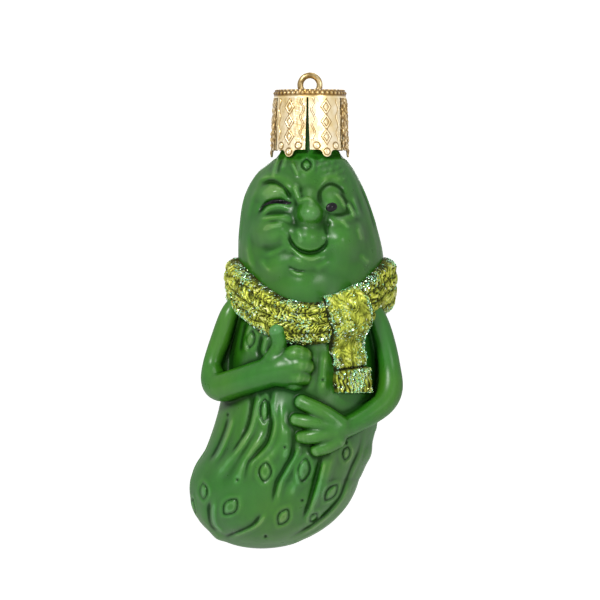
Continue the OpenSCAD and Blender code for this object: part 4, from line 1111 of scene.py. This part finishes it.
def noise(tree, scale, detail, stretch=1.0):
    """Noise over the piece's own coordinates, with its scale in features per metre, fewer up and down."""
    coords = tree.nodes.new("ShaderNodeTexCoord").outputs["Object"]
    mapping = put(tree.nodes.new("ShaderNodeMapping"), Vector=coords, Scale=(1, 1, stretch))
    node = tree.nodes.new("ShaderNodeTexNoise")
    put(node, Vector=mapping.outputs["Vector"], Scale=scale, Detail=detail)
    return node.outputs["Fac"]


def attribute(tree, name):
    node = tree.nodes.new("ShaderNodeAttribute")
    node.attribute_name = name
    return node.outputs["Fac"]


def ramp(tree, factor, *stops):
    """Colours or greys along a factor, from (place, colour) pairs."""
    node = put(tree.nodes.new("ShaderNodeValToRGB"), Fac=factor)
    elements = node.color_ramp.elements
    while len(elements) < len(stops):
        elements.new(0.5)
    for element, (place, colour) in zip(elements, stops):
        element.position = place
        element.color = (*colour, 1) if isinstance(colour, tuple) else (colour, colour, colour, 1)
    return node.outputs["Color"]


COLOUR_A, COLOUR_B, COLOUR_OUT = 6, 7, 2  # a mix node's sockets for colours


def multiply(tree, tone, *others):
    """Colours multiplied with one another."""
    for other in others:
        node = tree.nodes.new("ShaderNodeMix")
        node.data_type, node.blend_type = "RGBA", "MULTIPLY"
        node.inputs["Factor"].default_value = 1.0
        tree.links.new(tone, node.inputs[COLOUR_A])
        tree.links.new(other, node.inputs[COLOUR_B])
        tone = node.outputs[COLOUR_OUT]
    return tone


def bumps(tree, height, strength, distance):
    """Normals of a surface that rises by the height times a distance in metres."""
    node = put(tree.nodes.new("ShaderNodeBump"), Height=height, Strength=strength, Distance=distance)
    return node.outputs["Normal"]


def green_lacquer():
    """Glossy green lacquer with painted shade in its creases and hollows (partly lacquer pooled there),
    painted highlights on its ridges, and duller where seen edge on.
    """
    material, tree, shader = new_material("green_lacquer")
    cavity = attribute(tree, "cavity")
    # The ramp over how hollow or how high each point lies paints shade into the creases and hollows, with
    # some lacquer pooled there, and pale yellow-green painted highlights onto the ridges.
    tone = ramp(
        tree, cavity,
        (0.0, (0.008, 0.048, 0.004)), (0.25, (0.015, 0.1, 0.005)), (0.5, (0.024, 0.153, 0.006)),
        (0.75, (0.034, 0.182, 0.01)), (0.88, (0.046, 0.21, 0.016)), (1.0, (0.105, 0.29, 0.062)),
    )
    warm = ramp(tree, noise(tree, 70, 2), (0.4, (0.72, 0.94, 1.08)), (0.62, (1.26, 1.02, 0.9)))
    streaks = ramp(
        tree, noise(tree, 520, 3, stretch=0.22), (0.35, (0.9, 0.93, 0.9)), (0.65, (1.08, 1.05, 1.1))
    )
    facing = tree.nodes.new("ShaderNodeLayerWeight").outputs["Facing"]
    # Less gloss in the creases and hollows: painted shade on the reflections.
    gloss = multiply(
        tree, ramp(tree, facing, (0.3, 0.4), (0.75, 0.03)), ramp(tree, cavity, (0.0, 0.2), (0.35, 1.0))
    )
    put(
        shader,
        Base_Color=multiply(tree, tone, warm, streaks),
        Roughness=ramp(tree, noise(tree, 260, 4), (0.3, 0.27), (0.7, 0.38)),
        Specular_IOR_Level=gloss,
        Normal=bumps(tree, noise(tree, 260, 3, stretch=0.4), 0.25, 0.0003),
    )
    return material


def scarf_coat():
    """Lacquered knit with painted shade, dark brown-green, between the stitches and yellow-green to cream
    painted highlights on their crests.
    """
    material, tree, shader = new_material("scarf_coat")
    crest = attribute(tree, "crest")
    # The ramp over the stitches' crest paints shade between the stitches and highlights on their crests.
    tone = ramp(
        tree, crest,
        (0.0, (0.024, 0.03, 0.008)), (0.2, (0.1, 0.115, 0.018)), (0.42, (0.29, 0.335, 0.04)),
        (0.7, (0.56, 0.61, 0.1)), (1.0, (0.92, 0.92, 0.5)),
    )
    patch = ramp(
        tree, noise(tree, 260, 4),
        (0.32, (0.45, 0.42, 0.3)), (0.5, (0.95, 0.98, 0.8)), (0.7, (1.2, 1.15, 0.9)),
    )
    put(
        shader,
        Base_Color=multiply(tree, tone, patch),
        Roughness=ramp(tree, crest, (0.1, 0.85), (0.7, 0.3)),
        Normal=bumps(tree, noise(tree, 2600, 4), 0.5, 0.00008),
        Metallic=0.4,
        Specular_IOR_Level=0.15,
    )
    return material


def glitter():
    """Iridescent flakes: each has its own tint of white, mint, teal or pale yellow."""
    material, tree, shader = new_material("glitter")
    tint = ramp(
        tree, attribute(tree, "tint"),
        (0.0, (0.85, 0.95, 0.8)), (0.25, (0.4, 0.8, 0.45)), (0.5, (0.16, 0.62, 0.42)),
        (0.65, (0.75, 0.8, 0.25)), (0.85, (0.25, 0.65, 0.55)), (1.0, (0.95, 1.0, 0.95)),
    )
    roughness = ramp(tree, noise(tree, 1500, 2), (0.3, 0.16), (0.7, 0.3))
    put(shader, Base_Color=tint, Roughness=roughness, Metallic=0.75)
    return material


def black_enamel():
    """Glossy black enamel, a little uneven."""
    material, tree, shader = new_material("black_enamel")
    tone = ramp(tree, noise(tree, 800, 2), (0.35, (0.002, 0.002, 0.003)), (0.7, (0.008, 0.005, 0.009)))
    roughness = ramp(tree, noise(tree, 1200, 3), (0.3, 0.25), (0.7, 0.4))
    put(shader, Base_Color=tone, Roughness=roughness, Specular_IOR_Level=0.2)
    return material


def cap_metal():
    """Bright pale gold sheet, with brown patina in the hollows of its pressed pattern, and painted shade in
    the crinkles of its crumpled tabs and towards the sides of its rim.
    """
    material, tree, shader = new_material("cap_metal")
    # One ramp colours both the patina and the painted shade that the cap's points carry.
    tone = ramp(
        tree, attribute(tree, "stain"), (0.0, (0.9, 0.81, 0.62)), (0.2, (0.82, 0.7, 0.48)),
        (0.5, (0.48, 0.35, 0.17)), (1.0, (0.13, 0.07, 0.025)),
    )
    patch = ramp(tree, noise(tree, 240, 4), (0.34, (0.84, 0.74, 0.5)), (0.58, (1, 1, 1)))
    put(
        shader,
        Base_Color=multiply(tree, tone, patch),
        Roughness=ramp(tree, noise(tree, 700, 4), (0.3, 0.28), (0.7, 0.42)),
        Normal=bumps(tree, noise(tree, 1100, 4), 0.35, 0.0001),
        Metallic=1.0,
    )
    return material


def wire_metal():
    """Drawn spring wire: gold-coloured, a little rough, with duller patches."""
    material, tree, shader = new_material("wire_metal")
    tone = ramp(
        tree, noise(tree, 500, 4),
        (0.3, (0.2, 0.13, 0.045)), (0.5, (0.38, 0.28, 0.13)), (0.7, (0.6, 0.48, 0.27)),
    )
    put(
        shader,
        Base_Color=tone,
        Roughness=ramp(tree, noise(tree, 900, 4), (0.3, 0.22), (0.7, 0.38)),
        Normal=bumps(tree, noise(tree, 2400, 4), 0.4, 0.00005),
        Metallic=1.0,
    )
    return material


# The studio, in metres and watts
FLOOR_Z, BACK_Y, STAGE_HALF, SWEEP_R, BACKDROP_H = -0.16, 1.6, 2.5, 0.6, 2.2
PAPER_GLOW, WORLD_LIGHT = 0.86, 0.13
WHITE = (1, 1, 1, 1)
CAMERA_AT, CAMERA_FROM, SENSOR_MM = (-0.002278, 0.0, -0.048976), 1.5, 36
VIEW_WIDTH = 600 * PIXEL * MM
LIGHTS_AIM = (0, 0, -0.055)
# Name, place, size and power
SOFTBOXES = (
    ("key", (-0.35, -0.75, 0.42), 0.18, 5.8),
    ("fill", (0.55, -0.8, 0.12), 0.2, 1.6),
    ("top", (0.1, 0.05, 0.75), 0.4, 1.2),
    ("back", (0.05, 0.95, 0.25), 0.4, 2.6),
)


def where_seen(tree, plain, shown):
    """One shader for diffuse light, and another for what the camera, gloss and clear glass see."""
    path = tree.nodes.new("ShaderNodeLightPath")
    seen = path.outputs["Is Camera Ray"]
    for kind in ("Is Glossy Ray", "Is Transmission Ray"):
        either = tree.nodes.new("ShaderNodeMath")
        either.operation = "MAXIMUM"
        tree.links.new(seen, either.inputs[0])
        tree.links.new(path.outputs[kind], either.inputs[1])
        seen = either.outputs[0]
    choice = tree.nodes.new("ShaderNodeMixShader")
    for socket, value in zip(choice.inputs, (seen, plain, shown)):
        tree.links.new(value, socket)
    return choice.outputs[0]


def backdrop_material():
    """Pale paper. The camera, and what gloss reflects, sees it as near white, with the object's shadow."""
    material, tree, shader = new_material("pale_paper")
    put(shader, Base_Color=(0.8, 0.8, 0.8, 1), Roughness=0.9, Specular_IOR_Level=0.1)
    glow = put(tree.nodes.new("ShaderNodeEmission"), Color=WHITE, Strength=PAPER_GLOW)
    both = tree.nodes.new("ShaderNodeAddShader")
    tree.links.new(shader.outputs[0], both.inputs[0])
    tree.links.new(glow.outputs[0], both.inputs[1])
    put(tree.nodes["Material Output"], Surface=where_seen(tree, shader.outputs[0], both.outputs[0]))
    return material


def build_stage():
    """A floor below the hanging ornament that curves up into a backdrop."""
    profile = [(-STAGE_HALF, FLOOR_Z), (BACK_Y - SWEEP_R, FLOOR_Z)]
    for a in np.linspace(0.1, math.pi / 2, 12):
        profile.append((BACK_Y - SWEEP_R + SWEEP_R * math.sin(a), FLOOR_Z + SWEEP_R * (1 - math.cos(a))))
    profile.append((BACK_Y, FLOOR_Z + BACKDROP_H))
    points = [(x / MM, y / MM, z / MM) for y, z in profile for x in (-STAGE_HALF, STAGE_HALF)]
    faces = [(2 * i, 2 * i + 1, 2 * i + 3, 2 * i + 2) for i in range(len(profile) - 1)]
    obj = mesh_piece("floor_and_backdrop", points, faces, backdrop_material())


def build_world():
    """Faint white light from all sides, and full white where the world itself is seen."""
    world = bpy.data.worlds.new("studio")
    bpy.context.scene.world = world
    world.use_nodes = True
    tree = world.node_tree
    faint = put(tree.nodes["Background"], Color=WHITE, Strength=WORLD_LIGHT)
    white = put(tree.nodes.new("ShaderNodeBackground"), Color=WHITE, Strength=1.0)
    put(tree.nodes["World Output"], Surface=where_seen(tree, faint.outputs[0], white.outputs[0]))


def place_and_aim(obj, place, target):
    obj.location = place
    obj.rotation_euler = (Vector(target) - obj.location).to_track_quat("-Z", "Y").to_euler()
    bpy.context.scene.collection.objects.link(obj)


def build_softboxes():
    for name, place, size, power in SOFTBOXES:
        light = bpy.data.lights.new(name, "AREA")
        light.shape, light.size, light.energy = "SQUARE", size, power
        place_and_aim(bpy.data.objects.new(name, light), place, LIGHTS_AIM)


def build_camera():
    """A camera in front whose lens makes a pixel as wide on the object as in the photograph."""
    data = bpy.data.cameras.new("camera")
    data.sensor_width = SENSOR_MM
    data.lens = SENSOR_MM * CAMERA_FROM / VIEW_WIDTH
    data.clip_end = 20
    camera = bpy.data.objects.new("camera", data)
    x, y, z = CAMERA_AT
    place_and_aim(camera, (x, y - CAMERA_FROM, z), CAMERA_AT)
    bpy.context.scene.camera = camera


def build_studio():
    build_stage()
    build_world()
    build_softboxes()
    build_camera()
    bpy.context.scene.view_settings.view_transform = "Standard"


# How hollows and ridges paint shade and highlights into the lacquer: reach of the averages, then weight and
# depth that counts in full
SHADE_REACHES = (1.0, 0.45, 3.0)
SOFT_WEIGHT, SOFT_DEPTH, FINE_WEIGHT, FINE_DEPTH = 0.42, 0.35, 0.24, 0.12
BROAD_WEIGHT, BROAD_LEVEL, BROAD_MOST = 0.5, 0.06, 0.24


def build_pickle(material):
    """The sculpted figure, with how deep in a hollow, near 0, or high on a ridge, near 1, each point lies,
    which paints shade and highlights into its colour.
    """
    clay = sculpt_pickle()
    points, quads = clay.mesh()
    soft, fine, broad = (clay.sample(clay.blurred(reach), points) for reach in SHADE_REACHES)
    cavity = 0.5 + SOFT_WEIGHT * soft / SOFT_DEPTH + FINE_WEIGHT * fine / FINE_DEPTH
    # The broad average darkens wide hollows, such as the belly between the arms and under the scarf: painted
    # shade.
    cavity = cavity + BROAD_WEIGHT * np.minimum(broad - BROAD_LEVEL, BROAD_MOST)
    obj = mesh_piece(
        "pickle_figure", points, outward(points, quads), material, "figure", "green_lacquer",
        cavity=np.clip(cavity, 0, 1),
    )
    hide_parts("glass_body")
    return obj


def tree_of(obj):
    """The surface of a piece, for casting rays at it."""
    mesh = obj.data
    return BVHTree.FromPolygons([v.co for v in mesh.vertices], [list(p.vertices) for p in mesh.polygons])


def main():
    build_studio()
    surface = tree_of(build_pickle(green_lacquer()))
    enamel = black_enamel()
    build_wink(surface, enamel)
    build_pupil(surface, enamel)
    coat = scarf_coat()
    band, tail = build_band(coat), build_tail(coat)
    shine = glitter()
    flakes = build_glitter("band_glitter", band, BAND_FLAKES, BAND_SEED, shine)
    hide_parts("scarf_glitter")
    build_glitter("tail_glitter", tail, TAIL_FLAKES, TAIL_SEED, shine)
    build_cap(cap_metal())
    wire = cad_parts["hanger_wire"].data
    wire.materials.clear()
    wire.materials.append(wire_metal())


main()
